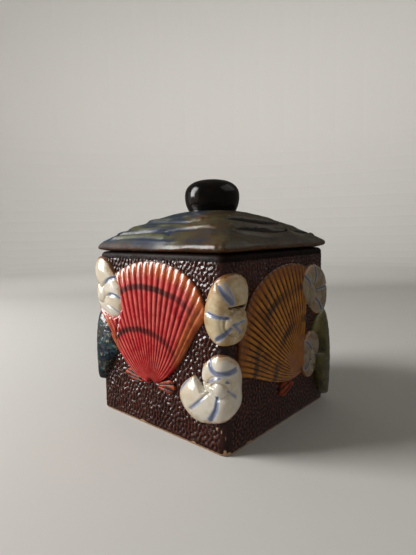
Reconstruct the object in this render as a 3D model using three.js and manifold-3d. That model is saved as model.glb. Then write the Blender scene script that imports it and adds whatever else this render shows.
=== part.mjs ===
// A square stoneware jar with scallop shells and snail shells in relief on its walls, and a domed lid
// with wave ridges that lifts off by its round knob.
// Units are millimetres. Z is up, and the origin is the middle of the flat underside. The wall with the
// red scallop faces -Y and the wall with the ochre scallop faces +X.
// The body's walls, floor and rim, and the lid's flange and knob, have sizes of their own. The carving
// on the walls is drawn in shares of the body's height, as a mould's carving scales with the mould.

import * as THREE from "three";
import { mergeVertices } from "three/addons/utils/BufferGeometryUtils.js";
import Module from "manifold-3d";

const wasm = await Module();
wasm.setup();

// Body
const footWidth = 106.4;
const rimWidth = 105;
const bodyHeight = 103.8;
const cornerRadius = 5;
const wall = 6;
const floorThickness = 6.5;
const mouthCornerRadius = 4;
const footChamfer = 1;
const rimOuterRound = 2.6;
const rimInnerRound = 1;

// Relief on the walls
const scallopDepth = 4.4;
const ribDepth = 1.3;
const earDepth = 2;
const clamDepth = 6;
const musselDepth = 5;
const shellEdgeStep = 1.1;
const shellSwell = 0.28;
const shellEdgePower = 7;
const rimScallop = 0.004;
const rootRibShare = 0.3;
const edgeRibShare = 0.4;
const earRibShare = 0.6;
const whorlFlatness = 0.36;
const spireFlatness = 0.3;
const whorlLift = 0.8;
const pressedHeight = 0.3;
const pressBlend = 3;
const firstSpireShare = 0.6;
const mouthSweepShare = 0.2;
const mouthCreaseShare = 0.9;
const cornerBlend = 14;

// Lid
const seatGap = 0.3;
const lidOverhang = 2.2;
const lipUndercut = 0.9;
const lipRise = 6;
const lipInset = 3;
const lipShoulder = 0.7;
const lidCornerRadius = 6;
const domeRise = 18;
const domeFullness = 1.4;
const waveCount = 4;
const waveDepth = 1.7;
const waveWander = 2;
const lidWall = 6.5;
const flangeDepth = 6;
const flangeThickness = 4;
const flangeClearance = 1.5;

// Knob
const knobRadius = 17.5;
const knobNeckRadius = 15;
const knobHeight = 20.4;
const knobNeckHeight = 9.2;
const knobFullness = 2.5;

const degrees = Math.PI / 180;
const clamp01 = (x) => Math.min(1, Math.max(0, x));
const share = (x) => x * bodyHeight;
const widthAt = (up) => footWidth + ((rimWidth - footWidth) * up) / bodyHeight;

// Solids

// Rows of points round an axis, as a closed solid. The last column joins the first, and a row of one point
// is a pole. Points run anticlockwise, seen from outside, as columns then rows grow.
function solidFromRows(rows) {
  const positions = rows.flat(2);
  const starts = [];
  let count = 0;
  for (const row of rows) {
    starts.push(count);
    count += row.length;
  }
  const index = [];
  for (let j = 0; j + 1 < rows.length; j++) {
    const low = rows[j].length;
    const high = rows[j + 1].length;
    const columns = Math.max(low, high);
    for (let i = 0; i < columns; i++) {
      const next = (i + 1) % columns;
      const a = starts[j] + (low > 1 ? i : 0);
      const b = starts[j] + (low > 1 ? next : 0);
      const c = starts[j + 1] + (high > 1 ? next : 0);
      const d = starts[j + 1] + (high > 1 ? i : 0);
      if (a !== b) index.push(a, b, c);
      if (c !== d) index.push(a, c, d);
    }
  }
  const geometry = new THREE.BufferGeometry();
  geometry.setAttribute("position", new THREE.Float32BufferAttribute(positions, 3));
  geometry.setIndex(index);
  return solidFromGeometry(geometry);
}

function solidFromGeometry(geometry) {
  const bare = geometry.clone();
  bare.deleteAttribute("normal");
  bare.deleteAttribute("uv");
  const merged = mergeVertices(bare, 1e-4);
  return new wasm.Manifold(
    new wasm.Mesh({
      numProp: 3,
      vertProperties: merged.attributes.position.array,
      triVerts: new Uint32Array(merged.index.array),
    }),
  );
}

// The largest body of a solid, without the specks of air that are sealed in where two shells cross.
function withoutPockets(solid) {
  return solid.decompose().reduce((largest, body) => (body.volume() > largest.volume() ? body : largest));
}

function meshFromSolid(name, solid, material) {
  const data = withoutPockets(solid).getMesh();
  const geometry = new THREE.BufferGeometry();
  geometry.setAttribute("position", new THREE.BufferAttribute(data.vertProperties, 3));
  geometry.setIndex(new THREE.BufferAttribute(data.triVerts, 1));
  geometry.computeVertexNormals();
  const mesh = new THREE.Mesh(geometry, material);
  mesh.name = name;
  return mesh;
}

// Square turning: a profile carried round a square with rounded corners

// The columns of a rounded square. Each has the side it is on, its place from -1 to 1 on the flat or its
// angle on the corner that follows, and its share of the way round.
function squareColumns(flatSteps, cornerSteps) {
  const columns = [];
  for (let side = 0; side < 4; side++) {
    for (let i = 0; i <= flatSteps; i++) columns.push({ side, flat: (2 * i) / flatSteps - 1, corner: 0 });
    for (let i = 1; i < cornerSteps; i++) columns.push({ side, flat: 1, corner: i / cornerSteps });
  }
  columns.forEach((column, i) => {
    column.way = i / columns.length;
  });
  return columns;
}

function squarePoint(column, half, radius, z) {
  const round = Math.min(radius, half);
  const angle = column.corner * 90 * degrees;
  const x = column.flat * (half - round) + round * Math.sin(angle);
  const y = -(half - round) - round * Math.cos(angle);
  const turn = column.side * 90 * degrees;
  return [x * Math.cos(turn) - y * Math.sin(turn), x * Math.sin(turn) + y * Math.cos(turn), z];
}

// profile is a list of rows from the bottom pole to the top pole. A row is a height for a pole, or a
// function of the column that gives [half width, corner radius, height].
function squareTurned(profile, columns) {
  const rows = profile.map((row) =>
    typeof row === "number"
      ? [[0, 0, row]]
      : columns.map((column) => squarePoint(column, ...row(column))),
  );
  return solidFromRows(rows);
}

const level = (half, radius, z) => () => [half, radius, z];

function bodyBlank() {
  const foot = footWidth / 2;
  const rim = rimWidth / 2;
  const profile = [
    0,
    level(foot - footChamfer, cornerRadius, 0),
    level(foot, cornerRadius, footChamfer),
  ];
  const roundSteps = 4;
  for (let i = 0; i <= roundSteps; i++) {
    const angle = (i / roundSteps) * 90 * degrees;
    const inset = rimOuterRound * (1 - Math.cos(angle));
    const drop = rimOuterRound * (1 - Math.sin(angle));
    profile.push(level(rim - inset, cornerRadius, bodyHeight - drop));
  }
  profile.push(bodyHeight);
  return squareTurned(profile, squareColumns(1, 4));
}

function cavity() {
  const mouth = rimWidth / 2 - wall;
  const above = bodyHeight + wall;
  const profile = [
    floorThickness,
    level(mouth - mouthCornerRadius, mouthCornerRadius, floorThickness),
    level(mouth, mouthCornerRadius, floorThickness + mouthCornerRadius),
    level(mouth, mouthCornerRadius, bodyHeight - rimInnerRound),
    level(mouth + rimInnerRound, mouthCornerRadius + rimInnerRound, bodyHeight),
    level(mouth + rimInnerRound, mouthCornerRadius + rimInnerRound, above),
    above,
  ];
  return squareTurned(profile, squareColumns(1, 3));
}

// Relief: shells drawn on the walls and wrapped round the corners

// `along` runs round the walls at mid height, anticlockwise from above, 0 in the middle of the -Y wall.
// One wall's middle is `wallRun` from the next one's, with a corner halfway. Close to a corner the
// outward direction turns slowly from one wall's to the other's, so that a shell swells over the corner.
const midWidth = (footWidth + rimWidth) / 2;
const flatHalf = midWidth / 2 - cornerRadius;
const wallRun = 2 * flatHalf + 90 * degrees * cornerRadius;
const shellSunk = wall / 3;

function wallPoint(along, up, out) {
  const side = Math.round(along / wallRun);
  const local = along - side * wallRun;
  const sign = Math.sign(local);
  const reach = Math.abs(local);
  const angle = Math.max(0, reach - flatHalf) / cornerRadius;
  const taper = widthAt(up) / midWidth;
  const fromCorner = clamp01((wallRun / 2 - reach) / cornerBlend);
  const lean = sign * 45 * degrees * (1 - Math.sin(90 * degrees * fromCorner));
  const inPlan = Math.min(reach, flatHalf) + cornerRadius * Math.sin(angle);
  const x = taper * sign * inPlan + out * Math.sin(lean);
  const y = -taper * (flatHalf + cornerRadius * Math.cos(angle)) - out * Math.cos(lean);
  const turn = side * 90 * degrees;
  return [x * Math.cos(turn) - y * Math.sin(turn), x * Math.sin(turn) + y * Math.cos(turn), up];
}

const wallMiddle = { front: 0, right: wallRun, back: 2 * wallRun, left: -wallRun };
const cornerMiddle = {
  near: 0.5 * wallRun,
  right: 1.5 * wallRun,
  left: -0.5 * wallRun,
  far: -1.5 * wallRun,
};

// How far a place on the wall lies under a snail: 0 outside its outline and 1 well inside it.
function underSnail(snailShell, along, up) {
  const round = 4 * wallRun;
  const apart = along - snailShell.along;
  const across = apart - round * Math.round(apart / round);
  const rise = up - snailShell.up;
  const distance = Math.hypot(across, rise);
  const angle = Math.atan2(rise, across) / degrees;
  const turned = snailShell.sense * (angle - snailShell.start);
  const way = (((turned % 360) + 360) % 360) / snailShell.sweep;
  if (way > 1) return 0;
  return clamp01((throughList(snailShell.reach, way) - distance) / pressBlend);
}

// A fan-shaped shell: ribs run from the hinge to the rim. `left` and `right` are the half angles of the
// fan at the rim, and `leftFlare` and `rightFlare` are added to them at the hinge, so the ribs curve.
// The middle of the shell stands at its depth, and it falls to the edge step round the outline. Where a
// snail lies over it, it is pressed down.
function fanShell(shell, snailsOver = []) {
  const ribs = shell.ribs || 0;
  const stepsPerRib = shell.stepsPerRib || 3;
  const columns = ribs ? ribs * stepsPerRib : 14;
  const rows = shell.rows || 7;
  const first = shell.first || 0.05;
  const point = (t, r, buried) => {
    const half = t < 0 ? shell.left : shell.right;
    const flare = (t < 0 ? shell.leftFlare : shell.rightFlare) || 0;
    const angle = (shell.turn + t * (half + flare * (1 - r) ** 2)) * degrees;
    const phase = ((t + 1) / 2) * ribs;
    const crest = ribs ? 1 - (2 * (phase - Math.floor(phase + 1e-6)) - 1) ** 2 : 1;
    const drop = shell.drop * Math.abs(t) ** shell.power;
    const reach = shell.length * (1 - drop) * (1 - rimScallop * (1 - crest));
    const along = shell.along + reach * r * Math.sin(angle);
    const up = shell.up + reach * r * Math.cos(angle);
    if (buried) return wallPoint(along, up, -shellSunk);
    const edge = Math.sqrt((1 - r ** shellEdgePower) * (1 - Math.abs(t) ** shellEdgePower));
    const swell = 1 - shellSwell * (1 - Math.sin(Math.PI * r));
    const fromRoot = rootRibShare + (1 - rootRibShare) * r;
    const fromEdge = edgeRibShare + (1 - edgeRibShare) * edge;
    const groove = (shell.ribDepth || 0) * fromRoot * fromEdge * (crest - 1);
    const free = shellEdgeStep + (shell.depth - shellEdgeStep) * edge * swell + groove;
    const press = Math.max(0, ...snailsOver.map((over) => underSnail(over, along, up)));
    const out = free * (1 - press) + pressedHeight * press;
    return wallPoint(along, up, Math.max(out, -shellSunk / 2));
  };
  const grid = (buried) => {
    const list = [];
    for (let j = 0; j <= rows; j++) {
      const r = first + (1 - first) * (1 - (1 - j / rows) ** 1.5);
      const row = [];
      for (let i = 0; i <= columns; i++) row.push(point((2 * i) / columns - 1, r, buried));
      list.push(row);
    }
    return list;
  };
  return solidFromSheets(grid(false), grid(true));
}

// A closed solid between an outer sheet and a buried sheet of the same rows and columns.
function solidFromSheets(outer, buried) {
  const rows = outer.length;
  const columns = outer[0].length;
  const positions = [...outer.flat(2), ...buried.flat(2)];
  const at = (layer, j, i) => layer * rows * columns + j * columns + i;
  const index = [];
  for (let j = 0; j + 1 < rows; j++) {
    for (let i = 0; i + 1 < columns; i++) {
      index.push(at(0, j, i), at(0, j, i + 1), at(0, j + 1, i + 1));
      index.push(at(0, j, i), at(0, j + 1, i + 1), at(0, j + 1, i));
      index.push(at(1, j, i), at(1, j + 1, i + 1), at(1, j, i + 1));
      index.push(at(1, j, i), at(1, j + 1, i), at(1, j + 1, i + 1));
    }
  }
  const border = [];
  for (let i = 0; i + 1 < columns; i++) border.push([0, i]);
  for (let j = 0; j + 1 < rows; j++) border.push([j, columns - 1]);
  for (let i = columns - 1; i > 0; i--) border.push([rows - 1, i]);
  for (let j = rows - 1; j > 0; j--) border.push([j, 0]);
  border.forEach(([j, i], k) => {
    const [nextJ, nextI] = border[(k + 1) % border.length];
    index.push(at(0, j, i), at(1, j, i), at(1, nextJ, nextI));
    index.push(at(0, j, i), at(1, nextJ, nextI), at(0, nextJ, nextI));
  });
  const geometry = new THREE.BufferGeometry();
  geometry.setAttribute("position", new THREE.Float32BufferAttribute(positions, 3));
  geometry.setIndex(index);
  return solidFromGeometry(geometry);
}

// A value that runs smoothly through a list of values at even steps, for a place from 0 to 1.
function throughList(list, way) {
  const place = way * (list.length - 1);
  const i = Math.min(list.length - 2, Math.floor(place));
  const t = place - i;
  const a = list[Math.max(0, i - 1)];
  const b = list[i];
  const c = list[i + 1];
  const d = list[Math.min(list.length - 1, i + 2)];
  return b + 0.5 * t * (c - a + t * (2 * a - 5 * b + 4 * c - d + t * (3 * (b - c) + d - a)));
}

// A coiled shell, flat on the wall: a round spire in the middle and one whorl that grows round it.
// `reach` is the distance from the middle to the outline at even steps of the sweep from `start` on,
// where the last step is the shell's mouth. Each column runs out from the middle, over the spire, down
// into the crease round it, over the whorl and down to the outline. Towards the mouth the crease moves
// out to where the whorl began, so the mouth is a lobe of its own beside the first part of the coil.
function snail(shell) {
  const spire = [0.7, 1];
  const whorl = [0.16, 0.5, 0.84, 1];
  const columns = 24;
  const mouthCrease = Math.max(shell.spire, mouthCreaseShare * shell.reach[0]);
  const rows = [[wallPoint(shell.along, shell.up, -shellSunk)]];
  const ringAt = (pick) => {
    const ring = [];
    for (let i = 0; i < columns; i++) {
      const way = i / (columns - 1);
      const angle = (shell.start + shell.sense * shell.sweep * way) * degrees;
      const reach = throughList(shell.reach, way);
      const toMouth = clamp01((way - 1 + mouthSweepShare) / mouthSweepShare) ** 2;
      const coil = shell.spire * (firstSpireShare + (1 - firstSpireShare) * way);
      const crease = (1 - toMouth) * coil + toMouth * mouthCrease;
      const [from, out] = pick(reach, crease);
      ring.push(wallPoint(shell.along + from * Math.cos(angle), shell.up + from * Math.sin(angle), out));
    }
    return shell.sense > 0 ? ring : ring.reverse();
  };
  const base = (from, reach) => whorlLift + shellEdgeStep * (1 - (from / reach) ** 2);
  rows.push(ringAt((reach) => [reach, -shellSunk]));
  for (const step of [...whorl].reverse()) {
    rows.push(
      ringAt((reach, crease) => {
        const from = crease + (reach - crease) * step;
        const bulge = 0.5 * (reach - crease) * whorlFlatness * Math.sqrt(1 - (2 * step - 1) ** 2);
        return [from, base(from, reach) + bulge];
      }),
    );
  }
  for (const step of [...spire].reverse()) {
    rows.push(
      ringAt((reach, crease) => {
        const from = crease * step;
        return [from, base(from, reach) + shell.spire * spireFlatness * Math.sqrt(1 - step ** 2)];
      }),
    );
  }
  rows.push([wallPoint(shell.along, shell.up, whorlLift + shellEdgeStep + shell.spire * spireFlatness)]);
  return solidFromRows(rows);
}

const scallopForm = { drop: 0.21, power: 3.4, depth: scallopDepth, ribDepth };
const earForm = { drop: 0.25, power: 2, depth: earDepth, ribDepth: ribDepth * earRibShare, ribs: 3, rows: 2 };

const scallops = [
  {
    along: wallMiddle.front - share(0.002),
    up: share(0.266),
    length: share(0.689),
    turn: -6,
    left: 51.5,
    right: 49.5,
    leftFlare: 37.5,
    rightFlare: 30.5,
    drop: 0.16,
    power: 5.6,
    ribs: 22,
    ears: [
      { turn: 86, half: 19, length: share(0.17), first: 0.3 },
      { turn: -85, half: 10, length: share(0.25), first: 0.45 },
    ],
  },
  {
    along: wallMiddle.right + share(0.191),
    up: share(0.275),
    length: share(0.708),
    turn: -42,
    left: 38,
    right: 50,
    leftFlare: 37,
    rightFlare: 0,
    drop: 0.13,
    power: 1.35,
    ribs: 26,
    stepsPerRib: 2,
    ears: [{ turn: -110, half: 14, length: share(0.25), first: 0.5 }],
  },
  {
    along: wallMiddle.left - share(0.1),
    up: share(0.25),
    length: share(0.64),
    turn: -4,
    left: 40,
    right: 40,
    leftFlare: 12,
    rightFlare: 12,
    ribs: 13,
    stepsPerRib: 2,
    rows: 5,
    ears: [],
  },
  {
    along: wallMiddle.back + share(0.07),
    up: share(0.25),
    length: share(0.66),
    turn: 4,
    left: 40,
    right: 40,
    leftFlare: 12,
    rightFlare: 12,
    ribs: 13,
    stepsPerRib: 2,
    rows: 5,
    ears: [],
  },
];

const smoothShells = [
  {
    along: cornerMiddle.right + share(0.03),
    up: share(0.02),
    length: share(0.59),
    turn: 0,
    left: 34,
    right: 40,
    leftFlare: 56,
    rightFlare: 46,
    drop: 0.32,
    power: 2.2,
    depth: clamDepth,
  },
  {
    along: cornerMiddle.left - share(0.045),
    up: share(0.17),
    length: share(0.46),
    turn: 2,
    left: 32,
    right: 34,
    leftFlare: 30,
    rightFlare: 36,
    drop: 0.35,
    power: 2,
    depth: musselDepth,
  },
];

// Reaches are shares of the body's height. A sense of 1 grows anticlockwise, seen from outside.
const moonSnail = {
  start: 0,
  sense: -1,
  sweep: 325,
  reach: [0.102, 0.097, 0.099, 0.105, 0.145, 0.171, 0.194, 0.247, 0.23, 0.094],
};
const nautilus = {
  start: 150,
  sweep: 345,
  reach: [0.133, 0.143, 0.17, 0.166, 0.147, 0.137, 0.16, 0.159, 0.191, 0.255, 0.27, 0.155],
};
const snails = [
  { ...moonSnail, along: cornerMiddle.near + share(0.062), up: share(0.66), spire: 0.077 },
  { ...nautilus, along: cornerMiddle.near - share(0.031), up: share(0.347), sense: -1, spire: 0.055 },
  {
    along: cornerMiddle.left + share(0.034),
    up: share(0.727),
    start: 180,
    sense: 1,
    sweep: 307,
    reach: [0.16, 0.146, 0.086, 0.126, 0.224, 0.213, 0.199, 0.241, 0.226],
    spire: 0.06,
  },
  {
    along: wallMiddle.right + share(0.318),
    up: share(0.733),
    start: 200,
    sense: -1,
    sweep: 300,
    reach: [0.112, 0.14, 0.165, 0.18, 0.195, 0.195, 0.09],
    spire: 0.055,
  },
  {
    along: wallMiddle.right + share(0.32),
    up: share(0.33),
    start: 0,
    sense: 1,
    sweep: 300,
    reach: [0.088, 0.137, 0.163, 0.137, 0.129, 0.137, 0.11],
    spire: 0.055,
  },
  { ...moonSnail, along: cornerMiddle.far + share(0.05), up: share(0.66), spire: 0.077 },
  { ...nautilus, along: cornerMiddle.far + share(0.031), up: share(0.33), start: 30, sense: 1, spire: 0.055 },
];

function jarSolid() {
  const coils = snails.map((shell) => ({ ...shell, reach: shell.reach.map(share), spire: share(shell.spire) }));
  let solid = bodyBlank();
  for (const shell of smoothShells) solid = solid.add(fanShell(shell, coils));
  for (const shell of scallops) {
    solid = solid.add(fanShell({ ...scallopForm, ...shell }, coils));
    for (const ear of shell.ears) {
      const place = { along: shell.along, up: shell.up, left: ear.half, right: ear.half };
      solid = solid.add(fanShell({ ...earForm, ...ear, ...place }));
    }
  }
  for (const shell of coils) solid = solid.add(snail(shell));
  return solid.subtract(cavity());
}

// Lid

const seat = bodyHeight + seatGap;
const lidHalf = rimWidth / 2 + lidOverhang;
const lipTop = seat + lipRise;
const neckZ = lipTop + domeRise;
const waveOuter = lidHalf - lipInset;

// Height of the plain dome, without waves, at a half width from the knob's neck to the lip.
function domeHeight(half) {
  const way = clamp01((waveOuter - half) / (waveOuter - knobNeckRadius));
  return lipTop + domeRise * (1 - (1 - way) ** domeFullness);
}

// The square plan grows round towards the knob.
function lidCorner(half) {
  const way = clamp01((waveOuter - half) / (waveOuter - knobNeckRadius));
  return lidCornerRadius + (knobNeckRadius - lidCornerRadius) * way ** 0.8;
}

// The waves fade out over these shares of the way from the lip to the neck, at either end.
const lipFade = 1 / 6;
const neckFade = 1 / 3;

// How far the ridges wander in and out on their way round, and how their height comes and goes.
function waveWanderAt(way, row) {
  const turn = 360 * degrees * way;
  return waveWander * (0.65 * Math.sin(5 * turn + 0.9 * row) + 0.35 * Math.sin(9 * turn - 0.7 * row));
}

function waveHeightAt(way, ridge) {
  const turn = 360 * degrees * way;
  return waveDepth * (0.7 + 0.3 * Math.sin(4 * turn + 2.1 * ridge));
}

function lidSolid() {
  const profile = [
    seat,
    level(rimWidth / 2 - rimOuterRound, lidCornerRadius - lipUndercut, seat),
    level(lidHalf - lipUndercut, lidCornerRadius, seat + lipUndercut),
    level(lidHalf, lidCornerRadius, seat + 0.45 * lipRise),
    level(lidHalf - lipShoulder, lidCornerRadius, seat + 0.8 * lipRise),
  ];
  const crest = [0, 1, 0.45];
  const rows = waveCount * crest.length;
  for (let j = 0; j <= rows; j++) {
    const way = j / rows;
    const ridge = Math.floor(j / crest.length);
    const fade = Math.min(1, way / lipFade, (1 - way) / neckFade);
    const plain = waveOuter + (knobNeckRadius - waveOuter) * way;
    profile.push((column) => {
      const half = plain + fade * waveWanderAt(column.way, ridge);
      const swell = fade * crest[j % crest.length] * waveHeightAt(column.way, ridge);
      return [half, lidCorner(half), domeHeight(half) + swell];
    });
  }
  profile.push(neckZ);
  const top = squareTurned(profile, squareColumns(8, 3));
  return top.add(flange()).subtract(lidHollow()).add(knobSolid());
}

const flangeOuter = rimWidth / 2 - wall - flangeClearance;
const flangeInner = flangeOuter - flangeThickness;
const flangeCorner = Math.max(mouthCornerRadius - flangeClearance, 1);

// The square ring under the lid that drops into the mouth and keeps the lid in place.
function flange() {
  const foot = seat - flangeDepth;
  const profile = [
    foot,
    level(flangeOuter - 1, flangeCorner, foot),
    level(flangeOuter, flangeCorner, foot + 1),
    level(flangeOuter, flangeCorner, seat + lipUndercut),
    seat + lipUndercut,
  ];
  return squareTurned(profile, squareColumns(1, 3));
}

// The hollow under the lid, inside the flange, which follows the dome at the thickness of the lid's wall.
function lidHollow() {
  const below = seat - 2 * flangeDepth;
  const profile = [
    below,
    level(flangeInner, flangeCorner, below),
    level(flangeInner, flangeCorner, seat),
  ];
  const steps = 4;
  for (let i = steps - 1; i > 0; i--) {
    const half = (flangeInner * i) / steps;
    const top = domeHeight(Math.max(half, knobNeckRadius)) - lidWall;
    profile.push(level(half, Math.min(half, lidCorner(half)), Math.max(top, seat)));
  }
  profile.push(neckZ - lidWall);
  return squareTurned(profile, squareColumns(1, 3));
}

function knobSolid() {
  const widest = neckZ + knobNeckHeight;
  const crown = knobHeight - knobNeckHeight;
  const buried = neckZ - lidWall / 2;
  const outline = [new THREE.Vector2(0, buried), new THREE.Vector2(knobNeckRadius, buried)];
  const neckSteps = 3;
  for (let i = 0; i < neckSteps; i++) {
    const way = i / neckSteps;
    const radius = knobRadius - (knobRadius - knobNeckRadius) * (1 - way) ** 2;
    outline.push(new THREE.Vector2(radius, neckZ + knobNeckHeight * way));
  }
  const crownSteps = 5;
  for (let i = 0; i < crownSteps; i++) {
    const angle = (i / crownSteps) * 90 * degrees;
    const radius = knobRadius * Math.cos(angle) ** (2 / knobFullness);
    outline.push(new THREE.Vector2(radius, widest + crown * Math.sin(angle) ** (2 / knobFullness)));
  }
  outline.push(new THREE.Vector2(0, widest + crown));
  const knob = new THREE.LatheGeometry(outline, 20);
  knob.rotateX(90 * degrees);
  return solidFromGeometry(knob);
}

const brownGlaze = new THREE.MeshStandardMaterial({ color: 0x3b241c, roughness: 0.3, metalness: 0 });
const floatingBlueGlaze = new THREE.MeshStandardMaterial({ color: 0x4b5a5c, roughness: 0.28, metalness: 0 });

const jar = new THREE.Group();
jar.add(meshFromSolid("jar", jarSolid(), brownGlaze));
jar.add(meshFromSolid("lid", lidSolid(), floatingBlueGlaze));

export default jar;
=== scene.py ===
# %% [markdown]
# # A square stoneware jar with shells in relief
#
# The real jar is slip-cast stoneware. Scallops, snail shells and two smooth mussel-like shells stand out
# of a wall that is covered in small stippled bumps, and a domed lid with wave ridges lifts off by a round
# knob. Everything is glazed: dark brown on the wall, red, ochre and cream on the shells, and a floating
# blue on the lid. The lesson builds each form as a function of two parameters on a grid of points, worked
# out in whole arrays, and then paints it with masks that the same functions give.

import bpy
import numpy as np
from mathutils import Matrix, Vector


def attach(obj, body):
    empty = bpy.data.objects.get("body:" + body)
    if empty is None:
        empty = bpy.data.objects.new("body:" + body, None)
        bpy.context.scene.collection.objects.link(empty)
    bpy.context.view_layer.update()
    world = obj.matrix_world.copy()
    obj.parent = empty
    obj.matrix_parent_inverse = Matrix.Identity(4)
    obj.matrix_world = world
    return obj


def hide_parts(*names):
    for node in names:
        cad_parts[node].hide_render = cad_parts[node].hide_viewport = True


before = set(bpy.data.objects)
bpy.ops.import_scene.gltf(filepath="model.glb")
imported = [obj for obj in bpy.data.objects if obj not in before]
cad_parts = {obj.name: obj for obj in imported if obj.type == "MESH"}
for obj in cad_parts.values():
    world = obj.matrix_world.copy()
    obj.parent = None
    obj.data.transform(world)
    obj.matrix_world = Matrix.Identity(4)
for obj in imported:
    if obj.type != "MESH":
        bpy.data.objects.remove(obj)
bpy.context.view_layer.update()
print("frame nodes:", sorted(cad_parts))

# %% [markdown]
# ## The camera
#
# The picture was taken with a phone, about 28 cm away from the jar and a little above its lid, looking at
# the corner between the two decorated walls. The place and the three angles were solved from the corners
# of the body and the lid. A camera can be aimed with a Track To constraint, but a matrix built from the
# three angles keeps the small roll of the hand-held picture, so the matrix is used.

# %% Camera
MM = 0.001
CAMERA_PLACE = np.array([183.6, -211.0, 114.5])
CAMERA_YAW, CAMERA_PITCH, CAMERA_ROLL = 0.7286, 0.1052, 0.0173
FOCAL_PIXELS, PICTURE_HEIGHT, SENSOR = 424.4, 555, 36.0


def camera_axes(yaw, pitch, roll):
    """Right, down and forward directions of a camera, as the rows of an array.

    Forward is turned by the yaw from +Y towards -X and tipped down by the pitch. Right is level before
    the roll, and the roll turns right and down about forward."""
    forward = np.array([-np.sin(yaw) * np.cos(pitch), np.cos(yaw) * np.cos(pitch), -np.sin(pitch)])
    right = np.cross(forward, [0, 0, 1.0])
    right /= np.linalg.norm(right)
    down = np.cross(forward, right)
    c, s = np.cos(roll), np.sin(roll)
    return np.array([c * right + s * down, -s * right + c * down, forward])


right, down, forward = camera_axes(CAMERA_YAW, CAMERA_PITCH, CAMERA_ROLL)
camera_data = bpy.data.cameras.new("camera")
camera_data.sensor_width = SENSOR
camera_data.lens = SENSOR * FOCAL_PIXELS / PICTURE_HEIGHT
camera_data.clip_start = 0.01
camera = bpy.data.objects.new("camera", camera_data)
bpy.context.scene.collection.objects.link(camera)
turned = Matrix([list(row) for row in np.array([right, -down, -forward]).T])
camera.matrix_world = Matrix.Translation(Vector(CAMERA_PLACE * MM)) @ turned.to_4x4()
bpy.context.scene.camera = camera
print("lens", round(camera_data.lens, 2), "mm")

# %% [markdown]
# ## Putting whole arrays into a mesh
#
# A mesh can be built one vertex at a time with bmesh, which is slow for a hundred thousand points.
# Here the points and faces are numpy arrays, and foreach_set copies each array in one call. A mask, such
# as how high a bump stands, goes in as a point attribute of the same length, and a material reads it back
# by name. The jar, the lid and the knob are each a stack of rings closed by two poles, so one function
# makes all three.

# %% Mesh helpers


def piece_from(name, points, quads, triangles, masks):
    """A smooth-shaded object from points in millimetres, faces of four and three corners and point masks."""
    corners = np.concatenate([quads.ravel(), triangles.ravel()]).astype(np.int32)
    sizes = np.concatenate([np.full(len(quads), 4), np.full(len(triangles), 3)])
    starts = np.concatenate([[0], np.cumsum(sizes)[:-1]]).astype(np.int32)
    mesh = bpy.data.meshes.new(name)
    mesh.vertices.add(len(points))
    mesh.vertices.foreach_set("co", (points * MM).astype(np.float32).ravel())
    mesh.loops.add(len(corners))
    mesh.loops.foreach_set("vertex_index", corners)
    mesh.polygons.add(len(sizes))
    mesh.polygons.foreach_set("loop_start", starts)
    mesh.polygons.foreach_set("use_smooth", np.ones(len(sizes), bool))
    for mask, values in masks.items():
        layer = mesh.attributes.new(mask, "FLOAT", "POINT")
        layer.data.foreach_set("value", values.astype(np.float32).ravel())
    mesh.update(calc_edges=True)
    mesh.validate()
    piece = bpy.data.objects.new(name, mesh)
    bpy.context.scene.collection.objects.link(piece)
    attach(piece, "root")
    print(name, "triangles:", 2 * len(quads) + len(triangles))
    return piece


def ring_quads(rows, columns):
    """Faces between neighbouring rows of a grid whose last column joins its first."""
    j, i = np.meshgrid(np.arange(rows - 1), np.arange(columns), indexing="ij")
    after = (i + 1) % columns
    quads = np.stack([j * columns + i, j * columns + after, (j + 1) * columns + after, (j + 1) * columns + i])
    return quads.reshape(4, -1).T


def sheet_quads(rows, columns):
    """Faces between neighbouring rows and columns of an open grid."""
    j, i = np.meshgrid(np.arange(rows - 1), np.arange(columns - 1), indexing="ij")
    a = j * columns + i
    return np.stack([a, a + 1, a + columns + 1, a + columns]).reshape(4, -1).T


def fan(ring, pole):
    """Triangles from each edge of a closed ring of point numbers to one pole."""
    return np.stack([ring, np.roll(ring, -1), np.full(len(ring), pole)]).T


def smooth_step(value, low, high):
    """0 below low, 1 above high, and an S-shaped rise between them."""
    way = np.clip((value - low) / (high - low), 0, 1)
    return way * way * (3 - 2 * way)


def skin_of_rings(name, rings, poles, masks):
    """A closed skin through rings of points, from the first pole to the last.

    Each mask is given as its values on the rings and its two values at the poles."""
    rows, columns = len(rings), len(rings[0])
    ring = np.arange(columns)
    ends = [fan(ring[::-1], rows * columns), fan(ring + (rows - 1) * columns, rows * columns + 1)]
    whole = {mask: np.concatenate([*values, at_poles]) for mask, (values, at_poles) in masks.items()}
    points = np.concatenate([*rings, poles])
    return piece_from(name, points, ring_quads(rows, columns), np.concatenate(ends), whole)


# %% [markdown]
# ## Wall coordinates
#
# The relief wraps round the corners of the jar, so it is drawn in coordinates of the wall itself: how far
# along the walls, how far up, and how far out of the wall. A lattice modifier could bend flat shells round
# a corner, but a function that turns wall coordinates into a point in space is exact, and the same function
# serves the stipple, the shells and the paint.

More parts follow.
